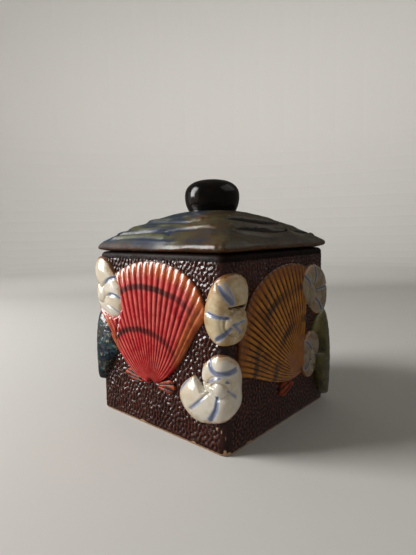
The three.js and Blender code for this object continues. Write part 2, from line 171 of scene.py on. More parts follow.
# %% Wall coordinates
FOOT_WIDTH, RIM_WIDTH, BODY_HEIGHT = 106.4, 105.0, 103.8
CORNER_RADIUS, WALL, FLOOR_THICKNESS = 5.0, 6.0, 6.5
MOUTH_CORNER, FOOT_CHAMFER, RIM_OUTER_ROUND, RIM_INNER_ROUND = 4.0, 1.0, 2.6, 1.0
CORNER_BLEND = 14.0
MID_WIDTH = (FOOT_WIDTH + RIM_WIDTH) / 2
FLAT_HALF = MID_WIDTH / 2 - CORNER_RADIUS
WALL_RUN = 2 * FLAT_HALF + np.pi / 2 * CORNER_RADIUS
SUNK = WALL / 3
FRONT, RIGHT, BACK, LEFT = 0.0, WALL_RUN, 2 * WALL_RUN, -WALL_RUN
NEAR, RIGHT_CORNER, LEFT_CORNER, FAR = 0.5 * WALL_RUN, 1.5 * WALL_RUN, -0.5 * WALL_RUN, -1.5 * WALL_RUN


def turned_to(side, x, y, z):
    """Points turned anticlockwise by quarter turns, one quarter turn for each side past the front."""
    c, s = np.cos(side * np.pi / 2), np.sin(side * np.pi / 2)
    return np.stack([x * c - y * s, x * s + y * c, z + 0 * x], axis=-1)


def on_side(along):
    """The side of the square that a place is on, and its sign and distance from the middle of that side."""
    side = np.round(along / WALL_RUN)
    local = along - side * WALL_RUN
    return side, np.sign(local), np.abs(local)


def wall_point(along, up, out):
    """A point in space for a place along, up and out of the wall.

    The wall is a square with rounded corners that narrows a little upwards. The outward direction is
    square to the wall, and within the corner blend it leans by up to 45 degrees towards the corner."""
    side, sign, reach = on_side(along)
    angle = np.maximum(0, reach - FLAT_HALF) / CORNER_RADIUS
    taper = (FOOT_WIDTH + (RIM_WIDTH - FOOT_WIDTH) * up / BODY_HEIGHT) / MID_WIDTH
    from_corner = np.clip((WALL_RUN / 2 - reach) / CORNER_BLEND, 0, 1)
    lean = sign * np.pi / 4 * (1 - np.sin(np.pi / 2 * from_corner))
    x = taper * sign * (np.minimum(reach, FLAT_HALF) + CORNER_RADIUS * np.sin(angle)) + out * np.sin(lean)
    y = -taper * (FLAT_HALF + CORNER_RADIUS * np.cos(angle)) - out * np.cos(lean)
    return turned_to(side, x, y, up)


def level_ring(along, half, radius, up):
    """A level square ring with rounded corners, with its points at the same places along as the wall's."""
    side, sign, reach = on_side(along)
    angle = np.maximum(0, reach - FLAT_HALF) / CORNER_RADIUS
    x = sign * (np.minimum(reach, FLAT_HALF) / FLAT_HALF * (half - radius) + radius * np.sin(angle))
    y = -(half - radius) - radius * np.cos(angle)
    return turned_to(side, x, y, np.full_like(along, up))


print("once round the walls:", round(4 * WALL_RUN, 1), "mm")

# %% [markdown]
# ## The stippled wall
#
# The ground between the shells was pressed full of small bumps and short worm-like ridges, two or three
# millimetres apart and half a millimetre high, and the dark glaze sparkles on them. A bump texture would give
# the sparkle but leave the outline smooth. A sum of many waves that all have nearly the same wavelength
# but run in every direction makes just such a labyrinth, so it is used for the shape itself. Each wave
# fits a whole number of times round the jar, so the pattern has no seam.

# %% Stipple
STIPPLE_HEIGHT, STIPPLE_WAVES = 0.46, 64
STIPPLE_LENGTHS = (2.1, 3.1)
STIPPLE_HARDNESS, STIPPLE_FILL = 1.7, 0.1


def stipple(along, up):
    """Height of the stipple from -1 to 1: a sum of waves of random direction, flattened at both ends."""
    draw = np.random.default_rng(11)
    lengths = draw.uniform(*STIPPLE_LENGTHS, STIPPLE_WAVES)
    headings = draw.uniform(0, 2 * np.pi, STIPPLE_WAVES)
    phases = draw.uniform(0, 2 * np.pi, STIPPLE_WAVES)
    times_round = np.round(4 * WALL_RUN * np.sin(headings) / lengths)
    field = np.zeros(np.broadcast(along, up).shape)
    for times, heading, length, phase in zip(times_round, headings, lengths, phases):
        across = 2 * np.pi * times * along / (4 * WALL_RUN)
        field += np.cos(across + 2 * np.pi * np.cos(heading) * up / length + phase)
    return np.tanh(STIPPLE_HARDNESS * (field * np.sqrt(2 / STIPPLE_WAVES) + STIPPLE_FILL))


def stipple_share(along, up):
    """How much of the stipple is there: little in the bands at the rim and foot and on the corners."""
    _, _, reach = on_side(along)
    from_corner = WALL_RUN / 2 - reach
    corner = 0.25 + 0.75 * smooth_step(from_corner, 1.0, 5.5)
    rim = 1 - smooth_step(up, BODY_HEIGHT - 5.0, BODY_HEIGHT - 2.4)
    foot = smooth_step(up, 1.0, 3.2)
    return corner * rim * foot


patch = stipple(np.linspace(-20, 20, 200)[:, None], np.linspace(30, 60, 150)[None, :])
print("stipple stands up on", round(100 * float((patch > 0).mean())), "% of the wall")

# %% [markdown]
# ## The jar's own surface
#
# One skin covers the whole vessel: from the middle of the underside, out over the foot, up the stippled
# wall, over the rounded rim, down the inside and across the floor. It is a profile carried round a square,
# so every row is a ring of the same points along the wall. The two walls that the picture shows get closer
# columns than the other two. Three masks go with it: how high the stipple stands, where the clay is bare,
# and the smooth band under the lid, which is painted darker as painted shade of the lid and has a duller
# glaze of its own.

# %% Jar body
SEEN_STEPS, HIDDEN_STEPS, WALL_ROWS = 190, 115, 134
UNDERSIDE_HALVES, INSIDE_UPS, FLOOR_HALVES = (10.0, 30.0, 47.0), (80.0, 45.0), (30.0, 10.0)
WIPED_FOOT, RIM_BAND, STIPPLE_SINK = (0.9, 1.9), 1.6, 0.1
CHIPS = [(51.4, 2.2, 1.5, 2.6), (46.6, 14.2, 1.2, 1.1), (49.6, 13.0, 0.7, 1.5), (51.7, 9.5, 0.5, 2.2)]
CHIPS += [(53.5, 1.6, 1.6, 1.2), (30.0, 1.8, 2.2, 0.8), (-12.0, 1.7, 3.0, 0.7), (70.0, 1.7, 2.6, 0.8)]
seen = np.linspace(NEAR - WALL_RUN, NEAR + WALL_RUN, 2 * SEEN_STEPS, endpoint=False)
hidden = np.linspace(NEAR + WALL_RUN, NEAR + 3 * WALL_RUN, 2 * HIDDEN_STEPS, endpoint=False)
around = np.concatenate([seen, hidden])
foot_half, rim_half = FOOT_WIDTH / 2, RIM_WIDTH / 2
inner_half = rim_half - WALL
jar_rings = []
jar_masks = {"height": [], "clay": [], "band": []}


def bare_spots(along, up):
    """Where the glaze has chipped or pulled back from the clay, as soft spots (along, up, width, height)."""
    spots = [np.exp(-(((along - x) / w) ** 2) - ((up - y) / h) ** 2) for x, y, w, h in CHIPS]
    return np.max(spots, axis=0)


def add_ring(points, height=0.5, clay=0.0, band=0.0):
    """One more ring of the jar's skin, with the values of its three masks."""
    jar_rings.append(points)
    for mask, value in (("height", height), ("clay", clay), ("band", band)):
        jar_masks[mask].append(np.broadcast_to(value, around.shape))


for half in (*UNDERSIDE_HALVES, foot_half - FOOT_CHAMFER - 0.6, foot_half - FOOT_CHAMFER):
    add_ring(level_ring(around, half, CORNER_RADIUS, 0.0), clay=1.0)
add_ring(level_ring(around, foot_half - 0.35, CORNER_RADIUS, 0.3), clay=1.0)
for up in np.linspace(FOOT_CHAMFER, BODY_HEIGHT - RIM_OUTER_ROUND, WALL_ROWS):
    ups = np.full_like(around, up)
    bump = stipple(around, ups) * stipple_share(around, ups)
    bare = np.maximum(1 - smooth_step(ups, *WIPED_FOOT), bare_spots(around, ups))
    band = float(up > BODY_HEIGHT - RIM_OUTER_ROUND - RIM_BAND)
    wall = wall_point(around, ups, STIPPLE_HEIGHT * (bump - STIPPLE_SINK))
    add_ring(wall, 0.5 + 0.5 * bump, bare, band)
for turn in np.radians([20, 42, 65, 90]):
    inset, drop = RIM_OUTER_ROUND * (1 - np.cos(turn)), RIM_OUTER_ROUND * (1 - np.sin(turn))
    add_ring(level_ring(around, rim_half - inset, CORNER_RADIUS, BODY_HEIGHT - drop), band=1.0)
for turn in np.radians([0, 35, 65, 90]):
    inset, drop = RIM_INNER_ROUND * (1 - np.sin(turn)), RIM_INNER_ROUND * (1 - np.cos(turn))
    add_ring(level_ring(around, inner_half + inset, MOUTH_CORNER + inset, BODY_HEIGHT - drop))
for up in (*INSIDE_UPS, FLOOR_THICKNESS + MOUTH_CORNER + 1.5):
    add_ring(level_ring(around, inner_half, MOUTH_CORNER, up))
for turn in np.radians([0, 30, 60, 90]):
    inset, rise = MOUTH_CORNER * (1 - np.cos(turn)), MOUTH_CORNER * (1 - np.sin(turn))
    add_ring(level_ring(around, inner_half - inset, MOUTH_CORNER, FLOOR_THICKNESS + rise))
for half in FLOOR_HALVES:
    add_ring(level_ring(around, half, MOUTH_CORNER, FLOOR_THICKNESS))

at_poles = {"height": [0.5, 0.5], "clay": [1.0, 0.0], "band": [0.0, 0.0]}
jar_body = skin_of_rings(
    "jar_body",
    jar_rings,
    [[0, 0, 0], [0, 0, FLOOR_THICKNESS]],
    {mask: (values, at_poles[mask]) for mask, values in jar_masks.items()},
)
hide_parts("jar")

# %% [markdown]
# ## Where the snails lie
#
# Each snail is described by its middle on the wall, the angle where its coil starts, how far and which
# way it sweeps, and its reach at even steps of the sweep. Its painted strokes, creases and gaps are lines
# on the wall. The snails are described first because the other shells are pressed down beneath them.

# %% Snail sizes


def through_list(values, way):
    """A smooth value through a list of values at even steps, for places from 0 to 1.

    Each stretch is a cubic, and it passes a value in the direction between the two values beside it."""
    values = np.asarray(values, float)
    place = way * (len(values) - 1)
    i = np.minimum(len(values) - 2, np.floor(place)).astype(int)
    t = place - i
    a, b = values[np.maximum(0, i - 1)], values[i]
    c, d = values[i + 1], values[np.minimum(len(values) - 1, i + 2)]
    return b + 0.5 * t * (c - a + t * (2 * a - 5 * b + 4 * c - d + t * (3 * (b - c) + d - a)))


def share(*values):
    return [value * BODY_HEIGHT for value in values]


moon_reach = share(0.102, 0.097, 0.099, 0.105, 0.145, 0.171, 0.194, 0.247, 0.23, 0.094)
nautilus_reach = share(0.133, 0.143, 0.17, 0.166, 0.147, 0.137, 0.16, 0.159, 0.191, 0.255, 0.27, 0.155)

upper_near = {"along": NEAR + 6.4, "up": 68.5, "start": 0, "sense": -1, "sweep": 325}
upper_near |= {
    "reach": moon_reach,
    "spire": 8.0,
    "creases": [
        ([(49.0, 89.5, 1.6), (51.9, 84.2, 1.8), (55.1, 80.0, 1.4)], 0.9),
        ([(43.0, 74.6, 1.6), (48.2, 73.1, 1.8), (53.5, 72.5, 1.2)], 0.8),
        ([(48.0, 60.5, 1.6), (51.8, 64.3, 1.8), (54.4, 68.2, 1.2)], 0.8),
        ([(55.2, 69.3, 1.0), (60.9, 70.4, 1.4)], 0.7),
        ([(55.2, 69.3, 1.0), (59.3, 64.3, 1.4)], 0.7),
    ],
    "balls": [(58.4, 69.4, 8.2, 1.3)],
    "gaps": [([(53.6, 77.4, 0.5), (58.0, 77.2, 0.9), (65.5, 77.0, 1.2)], 6.0)],
    "strokes": [
        ([(49.7, 88.4, 0.7), (51.9, 84.2, 1.1), (54.6, 80.2, 1.3)], 1.0),
        ([(51.6, 90.2, 0.4), (53.6, 86.3, 0.7), (55.1, 82.5, 0.5)], 0.7),
        ([(44.4, 74.4, 1.0), (48.2, 73.1, 1.1), (52.9, 72.5, 0.8)], 1.0),
        ([(48.7, 62.0, 1.3), (51.8, 64.3, 1.1), (54.0, 67.6, 0.6)], 1.0),
        ([(55.2, 69.3, 0.9), (60.9, 70.4, 0.6)], 0.8),
        ([(55.2, 69.3, 0.9), (59.3, 64.3, 0.6)], 0.8),
    ],
}
lower_near = {"along": NEAR - 3.2, "up": 36.0, "start": 150, "sense": -1, "sweep": 345}
lower_near |= {
    "reach": nautilus_reach,
    "spire": 5.7,
    "close": 10,
    "balls": [(49.0, 37.6, 5.4, 1.6)],
    "creases": [
        ([(42.6, 53.0, 1.6), (44.7, 47.0, 1.9), (47.3, 44.4, 1.9), (51.1, 44.7, 1.9), (57.5, 46.2, 1.6)], 1.1),
        ([(42.5, 37.5, 1.2), (46.0, 42.0, 1.4), (50.0, 43.0, 1.3), (53.5, 41.0, 1.2)], 0.7),
        ([(43.2, 33.0, 1.2), (38.0, 27.0, 1.5), (32.0, 22.2, 1.4)], 0.7),
        ([(48.2, 32.0, 1.2), (48.0, 25.8, 1.5), (44.6, 18.5, 1.4)], 0.7),
        ([(52.6, 35.8, 1.2), (57.3, 31.4, 1.5)], 0.6),
    ],
    "gaps": [([(34.6, 47.0, 5.5), (35.4, 41.5, 4.4), (37.9, 37.5, 2.4), (39.8, 33.4, 1.0)], 6.0)],
    "strokes": [
        ([(43.7, 52.3, 0.8), (44.7, 47.0, 1.2), (47.3, 44.4, 1.3), (51.1, 44.7, 1.2), (56.3, 46.0, 1.4)], 1.0),
        ([(43.7, 38.7, 0.5), (46.6, 41.5, 0.8), (49.5, 42.5, 0.5)], 0.8),
        ([(52.2, 40.6, 0.7), (52.8, 40.2, 0.4)], 1.0),
        ([(41.2, 30.1, 0.7), (37.7, 26.7, 1.1), (32.8, 22.8, 0.8)], 0.8),
        ([(48.2, 32.6, 0.8), (48.0, 25.8, 1.1), (44.6, 19.8, 1.3)], 1.0),
        ([(24.1, 30.5, 0.7), (29.4, 37.0, 0.7)], 0.8),
        ([(52.6, 35.8, 0.5), (56.3, 32.2, 0.9)], 0.7),
    ],
}

# %% [markdown]
# ### Left corner snail
#
# This snail wraps the left corner, so the picture shows it from the side. The part on the seen wall follows
# the picture, and the rest of its outline is guessed.

# %% Left corner snail
left_corner_snail = {"along": LEFT_CORNER + 3.5, "up": 75.5, "start": 180, "sense": 1, "sweep": 307}
left_corner_snail |= {
    "spire": 6.2,
    "reach": share(0.16, 0.146, 0.086, 0.126, 0.224, 0.213, 0.199, 0.241, 0.226),
    "creases": [
        ([(-43.5, 82.0, 1.5), (-38.9, 86.5, 1.9), (-33.0, 87.9, 1.7), (-28.0, 87.0, 1.5)], 1.0),
        ([(-42.0, 75.3, 1.4), (-36.9, 77.8, 1.8), (-31.0, 77.2, 1.6), (-27.0, 75.0, 1.4)], 1.0),
        ([(-38.0, 70.8, 1.2), (-31.5, 68.2, 1.4), (-26.0, 64.5, 1.2)], 0.6),
    ],
    "strokes": [
        ([(-41.6, 83.6, 0.5), (-37.9, 87.0, 1.0), (-33.0, 88.2, 1.2), (-29.5, 88.0, 0.9)], 1.0),
        ([(-39.3, 76.3, 0.5), (-35.9, 78.0, 0.8), (-31.0, 77.4, 0.9), (-28.0, 75.7, 0.6)], 1.0),
        ([(-33.9, 69.9, 0.5), (-28.9, 66.9, 0.7)], 0.7),
    ],
}

# %% [markdown]
# ### Right wall snails
#
# Two snails stand at the far edge of the right wall. Their lines are written from the middle of that wall,
# where the numbers stay small, and a short function moves them to where the wall lies.

# %% Right wall snails


def shifted(lines, along):
    """Lines that were written from the middle of a wall, moved to where that wall lies."""
    return [([(along + x, y, width) for x, y, width in points], value) for points, value in lines]


upper_right_snail = {"along": RIGHT + 33.0, "up": 76.1, "start": 200, "sense": -1, "sweep": 300, "spire": 5.7}
upper_right_snail["reach"] = share(0.112, 0.14, 0.165, 0.18, 0.195, 0.195, 0.09)
upper_right_snail["creases"] = [
    ([(30.0, 80.0, 1.0), (22.0, 88.0, 1.6)], 0.7),
    ([(34.0, 81.0, 1.0), (36.0, 93.0, 1.6)], 0.7),
    ([(38.0, 77.0, 1.0), (50.0, 79.0, 1.6)], 0.7),
    ([(36.0, 72.0, 1.0), (44.0, 62.0, 1.6)], 0.7),
]
upper_right_snail["strokes"] = [
    ([(30.0, 80.0, 0.7), (23.0, 87.0, 1.1)], 0.9),
    ([(34.0, 81.0, 0.7), (36.0, 92.0, 1.1)], 0.9),
    ([(38.0, 77.0, 0.7), (49.0, 79.0, 1.1)], 0.9),
    ([(36.0, 72.0, 0.7), (43.0, 63.0, 1.1)], 0.9),
]
lower_right_snail = {"along": RIGHT + 33.2, "up": 34.3, "start": 0, "sense": 1, "sweep": 300, "spire": 5.7}
lower_right_snail["reach"] = share(0.088, 0.137, 0.163, 0.137, 0.129, 0.137, 0.11)
lower_right_snail["creases"] = [
    ([(31.0, 39.0, 1.0), (24.0, 45.0, 1.5)], 0.6),
    ([(30.0, 33.0, 1.0), (23.0, 28.0, 1.5)], 0.6),
]
lower_right_snail["strokes"] = [
    ([(31.0, 39.0, 0.7), (25.0, 45.0, 1.0)], 0.8),
    ([(30.0, 33.0, 0.7), (24.0, 28.0, 1.0)], 0.8),
    ([(33.0, 35.0, 0.9), (33.4, 35.2, 0.9)], 1.0),
]
for snail in (upper_right_snail, lower_right_snail):
    snail |= {key: shifted(snail[key], RIGHT) for key in ("creases", "strokes")}


# %% [markdown]
# ### Far corner snails
#
# No picture shows the far corner. Its two snails repeat the near ones, moved and one of them turned, as a
# potter would use the same two moulds again.

# %% Far corner snails


def moved_strokes(shell, along, up, turn):
    """The same snail elsewhere: its lines are turned about the middle and moved with it."""
    c, s = np.cos(np.radians(turn)), np.sin(np.radians(turn))

    def moved(points):
        return [
            (
                along + c * (x - shell["along"]) - s * (y - shell["up"]),
                up + s * (x - shell["along"]) + c * (y - shell["up"]),
                width,
            )
            for x, y, width in points
        ]

    lines = {key: [(moved(p), v) for p, v in shell.get(key, ())] for key in ("creases", "gaps", "strokes")}
    return {**shell, **lines, "along": along, "up": up, "start": shell["start"] + turn, "balls": []}


far_upper = moved_strokes(upper_near, FAR + 5.2, 68.5, 0)
far_lower = moved_strokes(lower_near, FAR + 3.2, 34.3, 20)

ALL_SNAILS = [
    upper_near,
    lower_near,
    left_corner_snail,
    upper_right_snail,
    lower_right_snail,
    far_upper,
    far_lower,
]
print("snails:", len(ALL_SNAILS), "painted strokes:", sum(len(snail["strokes"]) for snail in ALL_SNAILS))

# %% [markdown]
# ## Ribbed shells
#
# Each scallop is a fan of ribs that spread from a small hinge. A rib runs along a line of constant angle,
# and the fan opens wider near the hinge, so the ribs bend slightly. The height is a low dome with ribs on
# it. A scallop could be a curved sheet with an Array of ribs, but a function of the two shell coordinates
# is shorter and also says where the paint goes: across the ribs is `spread`, and out from the hinge is
# `grow`. The red shell also has a crease beside its left lobe, and the ribs of the ochre shell fade towards
# one side. Under its edge each shell goes on down into the wall, so that no gap shows.

# %% Ribbed shells
EDGE_STEP, SHELL_SWELL, EDGE_POWER, RIM_SCALLOP = 1.1, 0.28, 7, 0.004
ROOT_RIB, EDGE_RIB = 0.3, 0.4
SCALLOP = {"drop": 0.21, "power": 3.4, "depth": 4.4, "rib_depth": 1.3}
PRESSED, PRESS_BLEND, CREASE_SHARPNESS = 0.3, 3.0, 1.5
RIB_STEPS, PLAIN_STEPS, FAN_ROWS, FIRST_GROW = 14, 120, 92, 0.05
EAR = {"drop": 0.25, "power": 2, "depth": 2.0, "rib_depth": 0.6, "ribs": 3, "rows": 26}
EAR |= {"left_flare": 0, "right_flare": 0}


def closed_shell(name, along, up, out, masks):
    """A sheet on the wall, closed behind by a buried rim and a buried middle point."""
    rows, columns = along.shape
    number = np.arange(rows * columns).reshape(rows, columns)
    border = np.concatenate([number[0, :-1], number[:-1, -1], number[-1, :0:-1], number[:0:-1, 0]])
    sheet = wall_point(along, up, out).reshape(-1, 3)
    rim = wall_point(along.ravel()[border], up.ravel()[border], np.full(len(border), -SUNK))
    middle = wall_point(along.mean(keepdims=True)[0], up.mean(keepdims=True)[0], np.array([-SUNK]))
    under = len(sheet) + np.arange(len(border))
    skirt = np.stack([border, under, np.roll(under, -1), np.roll(border, -1)]).T
    back = fan(under, len(sheet) + len(border))[:, ::-1]
    whole = {}
    for mask, values in masks.items():
        flat = np.broadcast_to(values, along.shape).ravel()
        whole[mask] = np.concatenate([flat, flat[border], [flat[0]]])
    points = np.concatenate([sheet, rim, middle])
    quads = np.concatenate([sheet_quads(rows, columns), skirt])
    return piece_from(name, points, quads, back, whole)


# %% [markdown]
# ### Ribs, pressing and lines
#
# Three helpers shape what lies on a shell. One makes the ribs, one tells where a snail presses the shell
# down, and one tells how near a place is to a line. The last serves creases, gaps and painted strokes.

# %% Ribs, pressing and lines


def rib_wave(spread, ribs, roundness):
    """0 in the grooves and 1 on the ribs. Low roundness gives narrow ribs, high gives narrow grooves."""
    phase = (spread + 1) / 2 * ribs
    bow = np.abs(2 * (phase - np.floor(phase)) - 1)
    return 1 - bow**roundness


def under_snail(snail, along, up):
    """How far a place lies under a snail: 0 outside its outline and 1 well inside it."""
    apart = along - snail["along"]
    across = apart - 4 * WALL_RUN * np.round(apart / (4 * WALL_RUN))
    rise = up - snail["up"]
    way = snail["sense"] * (np.degrees(np.arctan2(rise, across)) - snail["start"]) % 360 / snail["sweep"]
    inside = (through_list(snail["reach"], np.minimum(way, 1)) - np.hypot(across, rise)) / PRESS_BLEND
    return np.where(way <= 1, np.clip(inside, 0, 1), 0)


def rounded_line(points, times=2):
    """An open line with its corners cut twice, so that it bends smoothly."""
    line = np.asarray(points, float)
    for _ in range(times):
        early, late = 0.75 * line[:-1] + 0.25 * line[1:], 0.25 * line[:-1] + 0.75 * line[1:]
        inner = np.stack([early, late], axis=1).reshape(-1, line.shape[1])
        line = np.concatenate([line[:1], inner[1:-1], line[-1:]])
    return line


def near_line(along, up, points):
    """Closeness to an open line from 0 to 1. Each point of the line is (along, up, half width)."""
    line = rounded_line(points)
    start, step = line[:-1], np.diff(line, axis=0)
    x, y = along[..., None] - start[:, 0], up[..., None] - start[:, 1]
    length = np.maximum(1e-9, step[:, 0] ** 2 + step[:, 1] ** 2)
    way = np.clip((x * step[:, 0] + y * step[:, 1]) / length, 0, 1)
    distance = np.hypot(x - way * step[:, 0], y - way * step[:, 1])
    width = start[:, 2] + way * step[:, 2]
    return np.clip(1 - distance / width, 0, 1).max(axis=-1)


# %% [markdown]
# ### One fan
#
# The fan is one grid: its rows go out from the hinge and its columns go across the ribs. Every mask that
# the paint will need is already a value on the same grid.

# %% One fan


def fan_shell(name, shell, paint):
    """A shell whose points are at hinge + reach * grow * (sin angle, cos angle).

    The angle is turn + spread * (half angle + flare * (1 - grow) squared). The reach falls off towards
    the sides by the drop and dips a little in each groove. The height is an edge step plus a dome that
    falls with a high power of grow and of spread, less the depth of the grooves and the creases. The
    grooves get shallower at the rim by the rim fade and towards the left side by the side fade."""
    ribs = shell.get("ribs", 0)
    columns = ribs * RIB_STEPS + 1 if ribs else PLAIN_STEPS
    rows = shell.get("rows", FAN_ROWS)
    spread = np.linspace(-1, 1, columns)[None, :]
    first = shell.get("first", FIRST_GROW)
    grow = (first + (1 - first) * (1 - (1 - np.linspace(0, 1, rows)) ** 1.5))[:, None]
    half = np.where(spread < 0, shell["left"], shell["right"])
    flare = np.where(spread < 0, shell["left_flare"], shell["right_flare"])
    angle = np.radians(shell["turn"] + spread * (half + flare * (1 - grow) ** 2))
    rib = rib_wave(spread, ribs, shell.get("roundness", 2.0)) if ribs else np.ones_like(spread)
    drop = shell["drop"] * np.abs(spread) ** shell["power"]
    reach = shell["length"] * (1 - drop) * (1 - RIM_SCALLOP * (1 - rib))
    along = shell["along"] + reach * grow * np.sin(angle)
    up = shell["up"] + reach * grow * np.cos(angle)
    edge = np.sqrt((1 - grow**EDGE_POWER) * (1 - np.abs(spread) ** EDGE_POWER))
    swell = 1 - SHELL_SWELL * (1 - np.sin(np.pi * grow))
    depth = shell.get("rib_depth", 0) * (1 - shell.get("rim_fade", 0) * smooth_step(grow, 0.9, 1.0))
    depth = depth * (1 - shell.get("side_fade", 0) * smooth_step(-spread, 0.35, 0.95))
    groove = depth * (ROOT_RIB + (1 - ROOT_RIB) * grow) * (EDGE_RIB + (1 - EDGE_RIB) * edge) * (rib - 1)
    out = EDGE_STEP + (shell["depth"] - EDGE_STEP) * edge * swell + groove
    out = out + shell.get("growth", 0) * np.sin(2 * np.pi * shell.get("lines", 0) * grow**1.3) * edge
    crease = np.zeros_like(out)
    for points, cut in shell.get("creases", ()):
        closeness = near_line(along, up, points)
        crease = np.maximum(crease, closeness)
        out = out - cut * closeness**CREASE_SHARPNESS
    press = np.max([under_snail(snail, along, up) for snail in ALL_SNAILS], axis=0)
    out = out * (1 - press) + PRESSED * press
    masks = {"rib": rib, "grow": grow, "spread": spread, "band": paint(spread, grow), "crease": crease}
    return closed_shell(name, along, up, np.maximum(out, -SUNK / 2), masks)


# %% [markdown]
# ### Brush lines
#
# Two dark brush lines cross each scallop along its growth lines. Each is a share of the way out that changes
# a little across the ribs, with ink that runs dry at the ends. A painted picture would do it too, but these
# few numbers keep the line as sharp as the mesh.

# %% Brush lines
BRUSH_EDGE, OUTER_SMEAR, INNER_SMEAR = (0.014, 0.036), (0.014, 0.045), (0.014, 0.05)


def red_bands(spread, grow):
    """Two dark brush lines across the red shell, each at a share of the way out that bends with spread."""
    outer = np.interp(spread, [-1, -0.29, 0.12, 0.41, 0.82, 1], [0.83, 0.817, 0.79, 0.784, 0.828, 0.86])
    inner = np.interp(spread, [-1, -0.6, -0.3, 0, 0.3, 0.8, 1], [0.61, 0.525, 0.475, 0.44, 0.425, 0.43, 0.44])
    outer_ink = np.interp(spread, [-0.7, -0.45, 0.3, 0.8, 0.93], [0, 0.9, 1, 0.55, 0])
    inner_ink = np.interp(spread, [-0.95, -0.85, 0, 0.8, 0.95], [0, 1, 0.9, 0.55, 0])
    first = outer_ink * (1 - smooth_step(np.abs(grow - outer), *BRUSH_EDGE))
    second = inner_ink * (1 - smooth_step(np.abs(grow - inner), *BRUSH_EDGE))
    return np.maximum(first, second)


def ochre_bands(spread, grow):
    """Two dark brush lines across the ochre shell, which follow its growth lines."""
    outer = 0.77 + 0.03 * spread**2
    inner = 0.47 + 0.04 * spread**2
    ink = 0.55 + 0.35 * np.sin(7 * spread + 1)
    first = ink * (1 - smooth_step(np.abs(grow - outer), *OUTER_SMEAR))
    second = ink * (1 - smooth_step(np.abs(grow - inner), *INNER_SMEAR))
    return np.maximum(first, second)


def plain_paint(spread, grow):
    return 0 * spread * grow


# %% [markdown]
# ### Scallops
#
# The red and the ochre scallop follow the picture. The two on the hidden walls are guessed and plainer,
# with fewer ribs. The three small ears beside the hinges are fans of three ribs.

# %% Scallops
red_scallop = {**SCALLOP, "along": FRONT - 0.21, "up": 27.6, "length": 71.5, "turn": -6, "left": 51.5}
red_scallop |= {"right": 49.5, "left_flare": 37.5, "right_flare": 30.5, "drop": 0.16, "power": 5.6}
red_scallop |= {"ribs": 22, "roundness": 2.0, "rim_fade": 0.6}
beside_lobe = [(-31.5, 50.5, 1.0), (-31.0, 57.0, 1.7), (-29.0, 63.0, 1.9), (-26.5, 70.0, 1.4)]
red_scallop["creases"] = [(beside_lobe, 1.2)]
ochre_scallop = {**SCALLOP, "along": RIGHT + 19.8, "up": 28.5, "length": 73.5, "turn": -42, "left": 38}
ochre_scallop |= {"right": 50, "left_flare": 37, "right_flare": 0, "drop": 0.13, "power": 1.35}
ochre_scallop |= {"ribs": 26, "roundness": 2.2, "rim_fade": 0.4, "side_fade": 0.6}
hidden_scallop = {**SCALLOP, "left": 40, "right": 40, "left_flare": 12, "right_flare": 12}
hidden_scallop |= {"ribs": 13, "rows": 70}
left_scallop = {**hidden_scallop, "along": LEFT - 10.4, "up": 25.9, "length": 66.4, "turn": -4}
back_scallop = {**hidden_scallop, "along": BACK + 7.3, "up": 25.9, "length": 68.5, "turn": 4}


def ear_of(shell, turn, half, length, first):
    """The small ribbed ear beside a scallop's hinge."""
    sizes = {"turn": turn, "left": half, "right": half, "length": length, "first": first}
    return {**EAR, "along": shell["along"], "up": shell["up"], **sizes}


red_right_ear = ear_of(red_scallop, turn=86, half=19, length=17.6, first=0.3)
red_left_ear = ear_of(red_scallop, turn=-85, half=10, length=26.0, first=0.45)
ochre_ear = ear_of(ochre_scallop, turn=-110, half=14, length=26.0, first=0.5)
red_pieces = [
    fan_shell("red_scallop", red_scallop, red_bands),
    fan_shell("red_scallop_right_ear", red_right_ear, plain_paint),
    fan_shell("red_scallop_left_ear", red_left_ear, plain_paint),
    fan_shell("back_scallop", back_scallop, ochre_bands),
]
ochre_pieces = [
    fan_shell("ochre_scallop", ochre_scallop, ochre_bands),
    fan_shell("ochre_scallop_ear", ochre_ear, plain_paint),
    fan_shell("left_scallop", left_scallop, ochre_bands),
]

# %% [markdown]
# ## Smooth shells at the side corners
#
# A green clam swells round the right corner and a blue-black mussel round the left one. They are the same
# fan without ribs, with faint growth lines and a higher dome than the ribbed shells have.

# %% Smooth shells
clam = {"along": RIGHT_CORNER + 3.1, "up": 2.1, "length": 61.2, "turn": 0, "left": 34, "right": 40}
clam |= {"left_flare": 56, "right_flare": 46, "drop": 0.32, "power": 2.2, "depth": 6.0}
clam |= {"growth": 0.06, "lines": 9}
mussel = {"along": LEFT_CORNER - 4.7, "up": 17.6, "length": 47.7, "turn": 2, "left": 32, "right": 42}
mussel |= {"left_flare": 30, "right_flare": 42, "drop": 0.35, "power": 2, "depth": 5.0}
mussel |= {"growth": 0.07, "lines": 8}
green_clam = fan_shell("green_clam", clam, plain_paint)
blue_mussel = fan_shell("blue_mussel", mussel, plain_paint)

# %% [markdown]
# ## Snail shells
#
# The snail shells are moulded flat on the wall: a round spire, a whorl that grows round it, and a mouth
# beside the first part of the coil. The outline is a list of distances from the middle at even steps of
# the coil. Creases between the lobes, the gap at the mouth and the painted strokes are open lines drawn
# on the wall, and the distance from each grid point to the nearest line sets how deep the crease is or
# how strong the paint. Sculpting by hand would do it too, but lines in numbers are easy to move.

# %% Snail shells
WHORL_FLATNESS, SPIRE_FLATNESS, WHORL_LIFT = 0.36, 0.3, 0.8
FIRST_SPIRE, MOUTH_SWEEP, MOUTH_CREASE = 0.6, 0.2, 0.9
STROKE_WIDTH = 1.9
COIL_STEPS, SPIRE_STEPS, WHORL_STEPS = 210, 19, 43


